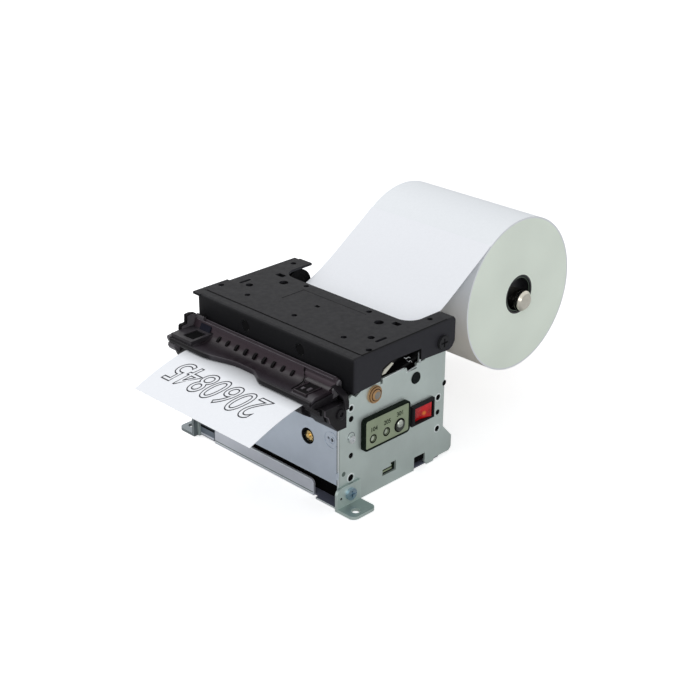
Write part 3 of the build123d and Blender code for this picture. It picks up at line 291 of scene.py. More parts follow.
def smoked_shade_bands(name):
    """Smoked plastic of the mouth with light and shade painted along its depth: dark at the rim, a painted
    sheen just behind it, painted shade in the trough, and paler up the wall where it stands thin against the
    light.
    """
    # Painted light and shade by depth: dark rim, painted sheen, painted shade in the trough, paler wall.
    shade_stops = [
        (MOUTH_RIM, srgb(15, 15, 17)), (-10.5, srgb(24, 23, 26)), (-10.0, srgb(60, 58, 62)),
        (-7.5, srgb(50, 46, 51)), (-4.0, srgb(29, 23, 28)), (0.0, srgb(27, 21, 26)), (2.4, srgb(42, 34, 39)),
        (4.2, srgb(58, 48, 54)), (5.4, srgb(52, 44, 50)), (MOUTH_BACK, srgb(30, 27, 30)),
    ]
    s = Surface(name, srgb(60, 50, 56), 0.36, spec=0.14, ior=1.49)
    along = s.ramp(s.places()["Y"], 0.0, 1.0, at(0, MOUTH_RIM, 0).y, at(0, MOUTH_BACK, 0).y)
    shade_bands = new_node(s.tree, "ShaderNodeValToRGB", {"Fac": along})
    elements = shade_bands.color_ramp.elements
    while len(elements) < len(shade_stops):
        elements.new(0.5)
    for element, (depth, colour) in zip(elements, shade_stops):
        element.position = (depth - MOUTH_RIM) / (MOUTH_BACK - MOUTH_RIM)
        element.color = colour
    mottle = s.ramp(s.noise(90.0, detail=2.0), 0.0, 0.12)
    s.paint(s.mix(mottle, shade_bands.outputs["Color"], srgb(58, 46, 54)))
    s.vary_rough(260.0, 0.05)
    s.bump(s.noise(420.0, detail=1.0), 0.00002, 0.25)
    return s.mat


def paper_surface(name, colour, rim_shadow=None):
    """Thermal paper: soft sheen, faint fibre, and painted shadow between two depths, darkening towards the
    mouth's rim.
    """
    s = Surface(name, colour, 0.62, spec=0.3)
    s.vary(900.0, 0.985, 1.01, detail=4.0)
    if rim_shadow:
        start, end = (at(0, depth, 0).y for depth in rim_shadow)
        # Painted shadow of the mouth's rim on the paper.
        s.spots(s.ramp(s.places()["Y"], 0.0, 1.0, start, end), tinted(colour, 0.36))
    s.bump(s.noise(5200.0, detail=3.0), 0.000006, 0.5)
    s.set("Sheen Weight", 0.05)
    return s.mat


def wound_paper(name, colour, end_colour, centre, radius):
    """Paper roll: winding rings and soft patches on its two ends, plain paper round it, with painted warm
    shade on its underside.
    """
    s = Surface(name, colour, 0.66, spec=0.3)
    to_centre = (0.0, -centre.y, -centre.z)
    rings = s.node(
        "ShaderNodeTexWave", {"Vector": s.moved(to_centre), "Scale": 420.0, "Distortion": 0.2, "Detail": 2.0},
        wave_type="RINGS", rings_direction="X", wave_profile="SIN",
    )["Fac"]
    offset = s.moved(to_centre, (0.0, 1.0, 1.0))
    reach = s.node("ShaderNodeVectorMath", {0: offset}, operation="LENGTH")["Value"]
    facing = s.facing()
    ends = s.ramp(s.maths("ABSOLUTE", facing["X"]), 0.0, 1.0, 0.5, 0.9)
    patches = s.ramp(s.noise(34.0, detail=1.0), 0.0, 1.0)
    wound = s.mix(patches, end_colour, tinted(end_colour, 0.93))
    wound = s.mix(s.ramp(rings, 0.0, 0.12, 0.0, 1.0), wound, tinted(end_colour, 0.8))
    rim = s.ramp(reach, 0.0, 1.0, radius - 1.1 * MM, radius - 0.5 * MM)
    wound = s.mix(rim, wound, colour)
    s.vary(700.0, 0.985, 1.01)
    # Painted shade: faces turned down take a warmer, darker colour.
    s.spots(s.ramp(facing["Z"], 1.0, 0.0, -0.35, 0.35), srgb(238, 231, 222))
    s.spots(ends, wound)
    s.bump(s.maths("MULTIPLY", rings, ends), 0.00002, 0.3)
    return s.mat


def circuit_green(name):
    """Solder-masked board with darker traces."""
    s = Surface(name, srgb(30, 92, 52), 0.35, spec=0.5)
    s.vary(150.0, 0.9, 1.1)
    sizes = {"Scale": 260.0, "Mortar Size": 0.06, "Brick Width": 1.4, "Row Height": 0.35}
    lines = s.node("ShaderNodeTexBrick", {"Vector": s.coords, **sizes})["Fac"]
    s.spots(s.ramp(lines, 0.0, 0.7, 0.4, 0.6), srgb(20, 62, 36))
    s.bump(lines, 0.00003, 0.6)
    return s.mat


def red_lens(name, lamp):
    """Red translucent rocker, with painted shade in front, a painted highlight above and a painted amber glow
    round one spot, given as lamp.
    """
    s = Surface(name, srgb(206, 14, 22), 0.25, spec=0.3)
    s.set("Coat Weight", 0.2)
    s.vary(330.0, 0.55, 1.15)
    places = s.places()
    # Painted shade towards the front.
    s.spots(s.ramp(places["Y"], 0.9, 0.0, lamp.y - 0.0078, lamp.y - 0.0042), srgb(84, 8, 16))
    # Painted highlight above.
    s.spots(s.ramp(places["Z"], 0.0, 0.35, lamp.z + 0.001, lamp.z + 0.005), srgb(232, 60, 74))
    # Painted amber glow round the spot given as lamp.
    offset = s.node("ShaderNodeVectorMath", {0: s.coords, 1: lamp}, operation="DISTANCE")["Value"]
    s.spots(s.ramp(offset, 0.85, 0.0, 0.0003, 0.0015), srgb(248, 148, 52))
    s.vary_rough(500.0, 0.05)
    s.bump(s.noise(900.0), 0.00002, 0.4)
    return s.mat


def led_lens(name, colour):
    """Clear lens of a status lamp."""
    s = Surface(name, colour, 0.12, spec=0.6)
    s.set("Transmission Weight", 0.2)
    s.vary(300.0, 0.85, 1.1)
    s.vary_rough(600.0, 0.04)
    s.bump(s.noise(1200.0), 0.00001, 0.3)
    return s.mat


ACROSS = (0.1, 1.0, 1.0)
side_zinc = zinc_steel("zinc_side", srgb(196, 207, 203))
# Painted shade: the right foot's tab is painted darker; the left foot is a darker copy for the shade it
# stands in, its tab painted lighter.
foot_zinc = foot_steel("zinc_foot", srgb(190, 203, 198), srgb(150, 166, 163))
foot_shaded = foot_steel("zinc_foot_shaded", srgb(120, 128, 130), srgb(134, 142, 146))
# Paler zinc for painted highlights: bright strips along edges, the lips of holes and the panel's top edge.
highlight_zinc = zinc_steel("zinc_highlight", srgb(226, 232, 232))
front_zinc = zinc_steel("zinc_front", srgb(194, 203, 214))
lip_zinc = zinc_steel("zinc_lip", srgb(212, 215, 222))
# Painted shade: a darker copy of the lip's zinc for the part in shade.
lip_shaded = zinc_steel("zinc_lip_shaded", srgb(112, 121, 131))
# Cover: painted shade on its front, a painted highlight on its side.
cover_black = black_paint("cover_black", srgb(25, 25, 28), 0.5, (0.6, 2.8))
screw_black = black_paint("screw_black", srgb(40, 40, 42), 0.3)
# Deep black of painted shade in holes, grooves and creases.
hole_shade_black = moulded("hole_shade_black", srgb(10, 10, 11), 0.8, 0.1)
tray_dark = black_paint("tray_dark", srgb(98, 101, 116), 0.4)
satin_steel = bright_metal("satin_steel", (0.66, 0.68, 0.69, 1), 0.3)
blade_steel = bright_metal("blade_steel", (0.7, 0.71, 0.72, 1), 0.22, ACROSS)
chrome = bright_metal("spindle_chrome", (0.64, 0.61, 0.53, 1), 0.2, ACROSS)
brass = bright_metal("brass", (0.78, 0.56, 0.24, 1), 0.3)
bush_bronze = moulded("bush_bronze", srgb(182, 148, 108), 0.45, 0.4)
clip_gold = moulded("clip_gold", srgb(168, 128, 82), 0.35, 0.5)
# Painted shade in the gaps round the bushes.
gap_shade_brown = moulded("gap_shade_brown", srgb(44, 32, 22), 0.6, 0.2)
screw_zinc = bright_metal("screw_zinc", srgb(158, 180, 194), 0.3)
# Painted shade in the corner seam and round two screw heads.
gap_shade_grey = moulded("gap_shade_grey", srgb(74, 79, 86), 0.6, 0.15)
dimple_grey = moulded("dimple_grey", srgb(92, 106, 100), 0.5, 0.3)
# Black for sheets, discs and rings of painted shade, put where only shade is seen.
shade_black = moulded("shade_black", srgb(7, 7, 8), 0.85, 0.05)
lever_dark = moulded("lever_dark", srgb(18, 17, 16), 0.6, 0.12)
guide_black = moulded("guide_black", srgb(13, 13, 14), 0.7, 0.08)
plug_black = moulded("plug_black", srgb(9, 17, 17), 0.6, 0.1)
bezel_black = moulded("bezel_black", srgb(20, 20, 23), 0.55, 0.15)
shaft_steel = bright_metal("shaft_steel", srgb(150, 148, 142), 0.4)
button_dark = moulded("button_dark", srgb(58, 62, 56), 0.45, 0.3)
aluminium = bright_metal("heat_sink_aluminium", (0.72, 0.74, 0.76, 1), 0.35, ACROSS)
rubber = moulded("platen_rubber", srgb(38, 38, 40), 0.75, 0.25, 0.00004)
black_plastic = moulded("black_plastic", srgb(28, 28, 31))
gear_plastic = moulded("gear_plastic", srgb(222, 216, 200), 0.4)
lever_tip = moulded("lever_tip", srgb(206, 204, 190), 0.35)
ceramic = moulded("head_ceramic", srgb(226, 222, 210), 0.3)
silver_plastic = bright_metal("button_silver", srgb(196, 202, 192), 0.25)
smoked_upper = smoked_shade_bands("smoked_upper")
# smoked_grey and smoked_block: painted shade on edges; smoked_lower and smoked_seat: painted highlights on
# edges; smoked_rim: paler plastic for painted highlights.
smoked_grey = smoked("smoked_grey", srgb(94, 91, 95), 0.25, srgb(24, 23, 26))
smoked_block = smoked("smoked_block", srgb(50, 47, 51), 0.1, srgb(22, 20, 23))
smoked_rim = smoked("smoked_rim", srgb(92, 86, 92), 0.1)
smoked_lower = smoked("smoked_lower", srgb(27, 25, 28), 0.05, srgb(66, 64, 70))
smoked_seat = smoked("smoked_seat", srgb(36, 29, 34), 0.05, srgb(60, 51, 59))
mouth_dark = moulded("mouth_dark", srgb(9, 7, 9), 0.7, 0.08)
patch_blue = moulded("patch_blue", srgb(20, 21, 32), 0.7, 0.1)
rim_dark = moulded("rim_dark", srgb(9, 20, 12), 0.6, 0.08)
hub_line = moulded("hub_line", srgb(112, 128, 114), 0.5, 0.2)
ink = moulded("print_ink", srgb(44, 46, 52), 0.6, 0.2)
mark_ink = moulded("mark_ink", srgb(44, 54, 38), 0.5, 0.15)
status_olive = moulded("status_olive", srgb(146, 158, 130), 0.5)
red_rocker = red_lens("red_rocker", at(*GLOW_SPOT))
led_green = led_lens("led_lens", srgb(202, 212, 190))
green_board = circuit_green("green_board")
web_paper = paper_surface("web_paper", srgb(238, 240, 244))
receipt_paper = paper_surface("receipt_paper", srgb(244, 246, 250), RIM_SHADOW_BAND)
roll_paper = wound_paper("roll_paper", srgb(236, 239, 242), srgb(246, 255, 242), roll_centre, roll_radius)

MATERIAL_NODES = (
    (side_zinc, "side_panel_right side_panel_left rear_panel cutter_bracket motor_bracket"),
    (front_zinc, "front_panel"), (lip_zinc, "front_lip"), (tray_dark, "base_tray"),
    (foot_zinc, "foot_bracket_right"), (foot_shaded, "foot_bracket_left"), (screw_zinc, "foot_screws"),
    (satin_steel, "side_screws guide_rod head_springs cutter_motor latch_pin idler_stud"),
    (satin_steel, "motor_shaft stepper_motor"), (shaft_steel, "platen_shaft"), (chrome, "spindle"),
    (blade_steel, "fixed_blade moving_blade"), (brass, "cutter_pinion motor_pinion"),
    (aluminium, "heat_sink"), (cover_black, "top_cover roll_bracket"), (screw_black, "pivot_screws"),
    # blade_screws take the hole shade black: painted shade of their recesses.
    (hole_shade_black, "blade_screws"), (plug_black, "cross_tie"), (bezel_black, "switch_bezel"),
    (guide_black, "guide_lobes paper_guide board_standoffs"),
    (black_plastic, "paper_sensor blade_guides serial_connector power_connector roll_core roll_hub"),
    (rubber, "platen_roller"), (ceramic, "print_head"), (lever_dark, "latch_lever"),
    (smoked_upper, "mouth_upper"), (smoked_lower, "mouth_lower"),
    (bush_bronze, "platen_bushes"), (clip_gold, "e_clips"), (gear_plastic, "platen_gear idler_gear"),
    (green_board, "control_board status_board"), (rim_dark, "usb_connector"),
    (status_olive, "status_panel"), (led_green, "status_leds"),
    (button_dark, "feed_button"), (red_rocker, "power_rocker"),
    (roll_paper, "paper_roll"), (web_paper, "paper_web"), (receipt_paper, "receipt"),
)
for surface, names in MATERIAL_NODES:
    for node_name in names.split():
        node = nodes[node_name]
        if not node.material_slots:
            node.data.materials.append(surface)
        for material_slot in node.material_slots:
            material_slot.material = surface


# ---- mesh helpers
SHARP_ANGLE = math.radians(30.0)
WIRE_SIDES = 8


def new_object(name, data):
    made = bpy.data.objects.new(name, data)
    bpy.context.scene.collection.objects.link(made)
    return made


def add_piece(name, shape, surface, body="frame", smooth=35.0):
    """Turn a bmesh into an object that rides on a body."""
    bmesh.ops.recalc_face_normals(shape, faces=shape.faces)
    mesh = bpy.data.meshes.new(name)
    shape.to_mesh(mesh)
    shape.free()
    mesh.materials.append(surface)
    piece = new_object(name, mesh)
    mesh.shade_smooth()
    mesh.set_sharp_from_angle(angle=math.radians(smooth))
    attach(piece, body)
    return piece


def rounded(shape, width):
    """Bevel the sharp edges of a bmesh, width in millimetres."""
    edges = (edge for edge in shape.edges if len(edge.link_faces) == 2)
    sharp = [edge for edge in edges if edge.calc_face_angle(0) > SHARP_ANGLE]
    bmesh.ops.bevel(
        shape, geom=sharp, offset=width * MM, segments=2, profile=0.7, affect="EDGES", clamp_overlap=True,
    )
    return shape


def ring_loft(shape, rings, closed=False):
    """Loft through rings of as many points each, joined end to end when closed, else capped at both ends."""
    rows = [[shape.verts.new(point) for point in ring] for ring in rings]
    for first, second in zip(rows, rows[1:] + rows[:1] if closed else rows[1:]):
        for index in range(len(first)):
            after = (index + 1) % len(first)
            shape.faces.new((first[index], first[after], second[after], second[index]))
    if not closed:
        shape.faces.new(list(reversed(rows[0])))
        shape.faces.new(rows[-1])
    return shape


def prism_x(shape, low_x, high_x, outline):
    """Closed prism along X from an outline of (depth, height) points."""
    return ring_loft(shape, [[at(x, depth, height) for depth, height in outline] for x in (low_x, high_x)])


def rectangle(low_d, high_d, low_z, high_z):
    return [(low_d, low_z), (high_d, low_z), (high_d, high_z), (low_d, high_z)]


def turned(shape, profile, origin, axis=(1, 0, 0), steps=40):
    """Closed solid of revolution: profile of (radius, offset) in mm about an axis through origin."""
    axis = Vector(axis)
    side = axis.orthogonal().normalized()
    other = axis.cross(side)
    rows = []
    for step in range(steps):
        angle = 2 * math.pi * step / steps
        out = math.cos(angle) * side + math.sin(angle) * other
        rows.append([origin + out * radius * MM + axis * offset * MM for radius, offset in profile])
    return ring_loft(shape, rows, closed=True)


def flat_ring(inner, outer, thick):
    """Profile of a flat ring for turned()."""
    return [(inner, 0.0), (outer, 0.0), (outer, thick), (inner, thick)]


def wire(shape, points, radius):
    """Round wire through points given as (x, depth, height)."""
    turns = [2 * math.pi * step / WIRE_SIDES for step in range(WIRE_SIDES)]
    places = [at(*point) for point in points]
    rings = []
    for index, place in enumerate(places):
        before, after = places[max(0, index - 1)], places[min(len(places) - 1, index + 1)]
        run = (after - before).normalized()
        side = run.orthogonal().normalized()
        other = run.cross(side)
        spokes = [side * math.cos(turn) + other * math.sin(turn) for turn in turns]
        rings.append([place + spoke * radius * MM for spoke in spokes])
    return ring_loft(shape, rings)


def text_shape(name, body, **settings):
    """Mesh of a line of text in the built-in font."""
    text = bpy.data.curves.new(name, "FONT")
    text.body = body
    for key, value in settings.items():
        setattr(text, key, value)
    holder = new_object(name, text)
    bpy.context.view_layer.update()
    flat = bpy.data.meshes.new_from_object(holder)
    bpy.data.objects.remove(holder)
    shape = bmesh.new()
    shape.from_mesh(flat)
    return shape


def add_prisms(name, surface, slot, bevel, *prisms, body="frame"):
    """Piece of prisms along X, each (low_x, high_x, outline), bevelled unless bevel is 0."""
    shape = bmesh.new()
    for prism in prisms:
        prism_x(shape, *prism)
    if bevel:
        rounded(shape, bevel)
    return add_piece(name, shape, surface, body)


def add_boxes(name, surface, slot, bevel, *boxes, body="frame"):
    """Piece of boxes, each (low_x, high_x, low_depth, high_depth, low_z, high_z)."""
    prisms = [(low_x, high_x, rectangle(*sides)) for low_x, high_x, *sides in boxes]
    add_prisms(name, surface, slot, bevel, *prisms, body=body)


def add_turned(name, surface, slot, steps, *rounds, body="frame"):
    """Piece of solids of revolution, each (profile, origin) or (profile, origin, axis)."""
    shape = bmesh.new()
    for solid in rounds:
        turned(shape, *solid, steps=steps)
    add_piece(name, shape, surface, body)


def add_mouth(name, surface, bevel, *prisms):
    """Piece of the paper mouth made of prisms."""
    return add_prisms(name, surface, "smoked_plastic", bevel, *prisms)


def smooth_step(value):
    value = min(1.0, max(0.0, value))
    return value * value * (3 - 2 * value)


def lerp(first, second, share):
    return first + (second - first) * share


# ---- paper mouth, upper half
MOUTH_LEFT = -52.0
MOUTH_RIGHT = 45.0
MOUTH_FOOT = 56.2
WALL_FRONT = 4.3
TROUGH_LEFT = -36.5
TROUGH_RIGHT = 30.6
RIM_STEP = 24.9
SHELL_STEP = 1.2
SHELL_FINE_STEP = 0.3
BLOCK_TOP = 58.5
POCKET_TOP = 59.2
POCKET_FLOOR = (58.3, 58.62)
RIB_FIRST = -37.7
RIB_PITCH = 6.38
RIB_COUNT = 10
RIB_HALF = 0.7
WAVE_BACK = 4.6
WING_OUTER = MOUTH_LEFT - 2.0
WING_INNER = MOUTH_LEFT + 0.3
WEB_END = MOUTH_LEFT + 6.0
WING_RIDGE = [(5.6, 64.6), (2.8, 65.3), (0.1, 65.1), (-0.1, 61.2), (-1.0, 60.9), (-3.0, 61.0), (-3.6, 60.4)]


def mouth_front(x):
    """Depth of the front rim: it steps back in a wave where a hand takes the receipt."""
    wave = smooth_step((x + 30) / 24) * (1 - smooth_step((x - 2) / 11))
    return MOUTH_RIM + WAVE_BACK * wave


def mouth_ring(x):
    """Section of the mouth at one x, from the back foot over the rim, wall and trough to the front rim."""
    inner_rim = 62.7 if x < RIM_STEP else 61.6
    top = [
        (MOUTH_BACK, 62.7), (7.0, 63.0), (6.3, 63.0), (6.05, 62.5), (5.75, 62.3), (5.5, inner_rim),
        (4.9, inner_rim - 0.1), (4.6, inner_rim - 0.7), (WALL_FRONT, 60.8), (3.7, 59.4), (2.6, 58.2),
        (0.8, 57.2), (-1.8, 56.45), (-4.8, 56.2), (-7.8, 56.45), (-9.7, 56.95), (-10.5, 57.15),
        (-11.0, 56.95), (MOUTH_RIM, 56.4), (-11.15, 55.2), (-10.8, 54.7),
    ]
    front = mouth_front(x)
    stretch = (WALL_FRONT - front) / (WALL_FRONT - MOUTH_RIM)
    ring = [at(x, MOUTH_BACK, MOUTH_FOOT)]
    for depth, height in top:
        moved = depth if depth > WALL_FRONT else WALL_FRONT - (WALL_FRONT - depth) * stretch
        if -9.0 < depth < 4.0:
            end = TROUGH_RIGHT - 5.5 * smooth_step((depth + 2.0) / 6.5)
            raised = smooth_step((x - end) / 0.9) + 1 - smooth_step((x - TROUGH_LEFT + 0.9) / 0.9)
            height = lerp(height, max(height, BLOCK_TOP), min(1.0, raised))
        ring.append(at(x, moved, height))
    ring.append(at(x, lerp(front, MOUTH_BACK, 0.4), 55.35))
    return ring


def mouth_stations():
    """x of the sections: close together at the trough's two ends."""
    stations = []
    x = MOUTH_LEFT
    while x < MOUTH_RIGHT:
        stations.append(x)
        near = TROUGH_LEFT - 1.5 < x < TROUGH_LEFT + 1.0 or TROUGH_RIGHT - 6.5 < x < TROUGH_RIGHT + 1.2
        x += SHELL_FINE_STEP if near else SHELL_STEP
    stations.append(MOUTH_RIGHT)
    return stations


def make_mouth_shell():
    shape = ring_loft(bmesh.new(), [mouth_ring(x) for x in mouth_stations()])
    piece = add_piece("mouth_shell", shape, smoked_upper, smooth=50.0)
    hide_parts("mouth_upper")


def make_mouth_cheeks():
    """Upright ends of the mouth: a stepped grey wing at the left, a small hooked one at the right."""
    wing = [(6.2, 63.6)] + WING_RIDGE + [
        (-3.8, 58.2), (-10.7, 57.5), (-11.1, 56.6), (-10.4, 54.6), (-8.4, 53.4), (6.2, 56.0),
    ]
    piece = add_mouth("mouth_wing_left", smoked_grey, 0.25, (WING_OUTER, WING_INNER, wing))
    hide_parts("mouth_upper")
    ridge = WING_RIDGE + [(-3.8, 58.4)]
    strips = []
    for (depth, height), (next_depth, next_height) in zip(ridge, ridge[1:]):
        strips.append((WING_OUTER - 0.05, WING_INNER + 0.05, [
            (depth, height - 0.1), (next_depth, next_height - 0.1),
            (next_depth - 0.12, next_height + 0.2), (depth - 0.12, height + 0.2),
        ]))
    strips.append((WING_INNER, WEB_END, [(6.9, 64.15), (5.9, 64.45), (5.9, 64.7), (6.9, 64.4)]))
    # Dark strips of painted shade along the wing's ridge and web.
    add_mouth("mouth_wing_edge", mouth_dark, 0, *strips)
    web = [(7.0, 64.2), (5.9, 64.5), (5.3, 63.6), (5.4, 58.0), (7.0, 58.0)]
    add_mouth("mouth_wing_web", smoked_grey, 0.25, (WING_INNER, WEB_END, web))
    add_mouth("mouth_wing_right", smoked_grey, 0.25, (MOUTH_RIGHT - 0.4, MOUTH_RIGHT + 1.2, [
        (5.2, 61.4), (6.6, 62.6), (7.2, 61.8), (7.2, 57.6),
        (5.0, 55.4), (2.0, 55.0), (2.6, 58.8), (4.4, 59.6),
    ]))


def make_mouth_block_left():
    """Grey block inside the left wing, with a square pocket let into its top."""
    shape = prism_x(bmesh.new(), MOUTH_LEFT + 0.2, TROUGH_LEFT - 0.4, rectangle(-10.0, 4.2, 55.6, POCKET_TOP))
    top = max(shape.faces, key=lambda face: face.calc_center_median().z)
    bmesh.ops.inset_region(shape, faces=[top], thickness=0.5 * MM)
    block_middle, pocket_middle = at(-44.3, -2.9, 0), at(-42.3, -3.2, 0)
    half_x, half_d = 3.6 * MM, 4.2 * MM
    for vert in top.verts:
        vert.co.x = pocket_middle.x + math.copysign(half_x, vert.co.x - block_middle.x)
        vert.co.y = pocket_middle.y + math.copysign(half_d, vert.co.y - block_middle.y)
    pocket = bmesh.ops.extrude_discrete_faces(shape, faces=[top])["faces"]
    bmesh.ops.translate(shape, verts=pocket[0].verts, vec=(0, 0, -2.6 * MM))
    add_piece("mouth_pocket_block", rounded(shape, 0.2), smoked_block)
    # Pocket floor in shade black: painted shade in the pocket.
    add_mouth("mouth_pocket_floor", shade_black, 0.05, (-45.8, -38.8, rectangle(-7.3, 0.9, *POCKET_FLOOR)))


def make_mouth_ribs():
    """Small black stops at the wall's foot that hold the paper off it."""
    rib = [
        (3.9, 59.2), (3.3, 59.5), (2.0, 58.8), (1.2, 57.9),
        (1.0, 57.1), (1.6, 56.8), (3.4, 57.6), (3.9, 58.4),
    ]
    middles = [RIB_FIRST + RIB_PITCH * index for index in range(RIB_COUNT)]
    add_mouth("mouth_ribs", mouth_dark, 0.35, *((x - RIB_HALF, x + RIB_HALF, rib) for x in middles))


def make_mouth_rims():
    """Two raised beads along the top of the wall, and the wall's dark left end."""
    beads = []
    for depth, height in ((4.95, 62.65), (6.65, 63.0)):
        beads.append((MOUTH_LEFT + 2.0, 43.6, [
            (depth - 0.2, height - 0.1), (depth + 0.2, height - 0.1),
            (depth + 0.12, height + 0.22), (depth - 0.12, height + 0.22),
        ]))
    # Beads in the paler smoked_rim: painted highlights along the wall's top.
    add_mouth("mouth_beads", smoked_rim, 0.06, *beads)
    patch = [(4.55, 61.6), (4.2, 60.6), (3.2, 58.9), (2.4, 58.9), (3.7, 60.8), (4.2, 62.0)]
    add_mouth("mouth_patch", patch_blue, 0.1, (-46.2, -38.9, patch))


def make_mouth_block_right():
    """Latch seat at the right end: a low ridge, a small window with a catch, and a sloping shoulder."""
    left, right, wall = 32.3, 40.5, 0.6
    ridge = [(3.4, 57.6), (3.4, 59.2), (2.8, 59.5), (1.4, 59.0), (0.9, 58.4), (0.9, 57.6)]
    side = [(0.9, 57.8), (0.9, 59.0), (-8.6, 58.9), (-9.2, 58.2), (-9.2, 57.6)]
    front = [(-8.6, 57.8), (-8.6, 58.85), (-9.0, 58.7), (-9.2, 57.8)]
    add_mouth(
        "latch_seat", smoked_seat, 0.15, (29.2, MOUTH_RIGHT - 0.6, ridge), (left, left + wall, side),
        (right - wall, right, side), (left + wall, right - wall, front),
    )
    # Dark floor: painted shade in the seat's window.
    floor = rectangle(-8.5, 0.9, *POCKET_FLOOR)
    add_mouth("latch_seat_floor", mouth_dark, 0.08, (left + wall + 0.1, right - wall - 0.1, floor))
    hook = [(-6.4, 58.6), (-6.4, 59.0), (-4.8, 59.3), (-3.9, 58.6)]
    tooth = [(-5.6, 58.6), (-5.4, 59.1), (-3.0, 59.2), (-2.7, 58.6)]
    # Catch in the paler smoked_rim: painted highlights in the window.
    add_mouth("latch_catch", smoked_rim, 0.12, (34.4, 35.5, hook), (37.2, 38.6, tooth))
    add_mouth("mouth_shoulder", smoked_lower, 0.3, (MOUTH_RIGHT - 8.5, MOUTH_RIGHT + 0.9, [
        (2.8, 57.2), (-8.0, 56.6), (-10.8, 55.4), (-10.9, 54.6), (-7.0, 53.6), (4.6, 53.6), (4.6, 57.2),
    ]))


def make_mouth_arm():
    """Thin curved arm that carries the mouth's right end down to the side panel."""
    path = [
        (44.8, 60.4), (46.4, 60.0), (47.6, 58.9), (48.8, 57.9),
        (50.4, 57.2), (51.3, 56.2), (51.7, 54.4), (51.7, 50.6),
    ]
    half_thick, back = 0.35, 6.2
    rings = []
    for index, (x, height) in enumerate(path):
        before, after = path[max(0, index - 1)], path[min(len(path) - 1, index + 1)]
        run = Vector((after[0] - before[0], 0, after[1] - before[1])).normalized()
        across = Vector((-run.z, 0, run.x)) * half_thick * MM
        front = lerp(2.4, 3.6, index / (len(path) - 1))
        rings.append([
            at(x, front, height) + across, at(x, back, height) + across,
            at(x, back, height) - across, at(x, front, height) - across,
        ])
    shape = rounded(ring_loft(bmesh.new(), rings), 0.12)
    add_piece("mouth_arm", shape, smoked_lower, smooth=50.0)


make_mouth_shell()
make_mouth_cheeks()
make_mouth_block_left()
make_mouth_ribs()
make_mouth_rims()
make_mouth_block_right()
make_mouth_arm()


# ---- paper mouth, lower half
JAW_STEP = 36.0
JAW_END = 50.0


def make_mouth_jaw():
    """Lower half of the mouth: a dark jaw with two ledges and a boss at its right end, and its left foot."""
    long = [(6.0, 44.0), (-3.0, 44.0), (-6.6, 46.4), (-7.6, 48.4), (-7.6, 53.4), (5.0, 53.4), (6.0, 52.0)]
    right = [
        (6.6, 40.5), (1.0, 40.5), (-3.6, 46.0), (-4.6, 49.0),
        (-6.6, 50.4), (-6.6, 53.3), (5.1, 53.3), (6.6, 52.6),
    ]
    left = [(6.5, 40.5), (1.0, 40.5), (-3.6, 46.0), (6.0, 46.0)]
    piece = add_mouth(
        "mouth_jaw", smoked_lower, 0.35,
        (MOUTH_LEFT, JAW_STEP, long), (JAW_STEP, JAW_END, right), (-JAW_END, -JAW_STEP, left),
    )
    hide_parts("mouth_lower")
    upper = [(-3.0, 51.0), (-7.9, 51.8), (-7.9, 52.6), (-3.0, 52.8)]
    lower = [(-3.0, 48.6), (-6.4, 49.4), (-6.4, 50.1), (-3.0, 50.4)]
    add_mouth("jaw_ribs", smoked_lower, 0.2, (34.0, 46.4, upper), (35.0, 46.4, lower))
    edge = [
        (-3.66, 46.0), (-4.66, 49.0), (-6.66, 50.4), (-6.66, 53.2),
        (-6.4, 53.2), (-6.4, 50.6), (-4.4, 49.2), (-3.4, 46.2),
    ]
    # jaw_gap: black strip of painted shade; jaw_edge: paler strip of painted highlight along the jaw's right
    # edge.
    add_mouth("jaw_gap", shade_black, 0, (46.6, 48.2, edge))
    add_mouth("jaw_edge", smoked_rim, 0, (49.72, 50.03, edge))
    boss = [(1.2, 0.0), (2.6, 0.0), (2.6, 0.8), (2.2, 1.0), (1.6, 1.0), (1.2, 0.7)]
    add_turned("jaw_boss", smoked_lower, "smoked_plastic", 40, (boss, at(49.9, 3.0, 48.4)))
    add_mouth("jaw_foot_left", smoked_grey, 0.4, (MOUTH_LEFT - 1.6, MOUTH_LEFT + 3.4, [
        (-10.6, 54.2), (-11.0, 52.6), (-10.2, 51.0), (-8.6, 49.6), (-6.0, 49.8), (-4.2, 50.8), (-4.2, 54.2),
    ]))


make_mouth_jaw()


# ---- receipt strip and its printed number
NUMBER_X = (29.0, -34.0)
NUMBER_DEPTH = (-16.5, -31.5)
STROKE = 0.016
STROKE_HEIGHT = 0.06


def upper_face(node):
    """Function of x and y (metres) that gives the height of a node's upper face."""
    mesh = nodes[node].data
    tree = BVHTree.FromPolygons([v.co for v in mesh.vertices], [list(p.vertices) for p in mesh.polygons])

    def height(x, y):
        place, _, _, _ = tree.ray_cast(Vector((x, y, 1.0)), Vector((0, 0, -1)))
        return place.z
    return height


def make_print():
    """Bold outlined number across the receipt."""
    paper_height = upper_face("receipt")
    shape = text_shape(
        "receipt_number", "2060845", size=1.0, shear=0.35, fill_mode="NONE",
        bevel_depth=STROKE, bevel_resolution=1, resolution_u=6,
    )
    wide = [min(v.co.x for v in shape.verts), max(v.co.x for v in shape.verts)]
    tall = [min(v.co.y for v in shape.verts), max(v.co.y for v in shape.verts)]
    for vert in shape.verts:
        across = (vert.co.x - wide[0]) / (wide[1] - wide[0])
        up = (vert.co.y - tall[0]) / (tall[1] - tall[0])
        place = at(lerp(*NUMBER_X, across), lerp(*NUMBER_DEPTH, up), 0)
        lift = (vert.co.z / STROKE + 0.6) * STROKE_HEIGHT * MM
        vert.co = (place.x, place.y, paper_height(place.x, place.y) + lift)
    add_piece("receipt_number", shape, ink, smooth=60.0)


make_print()


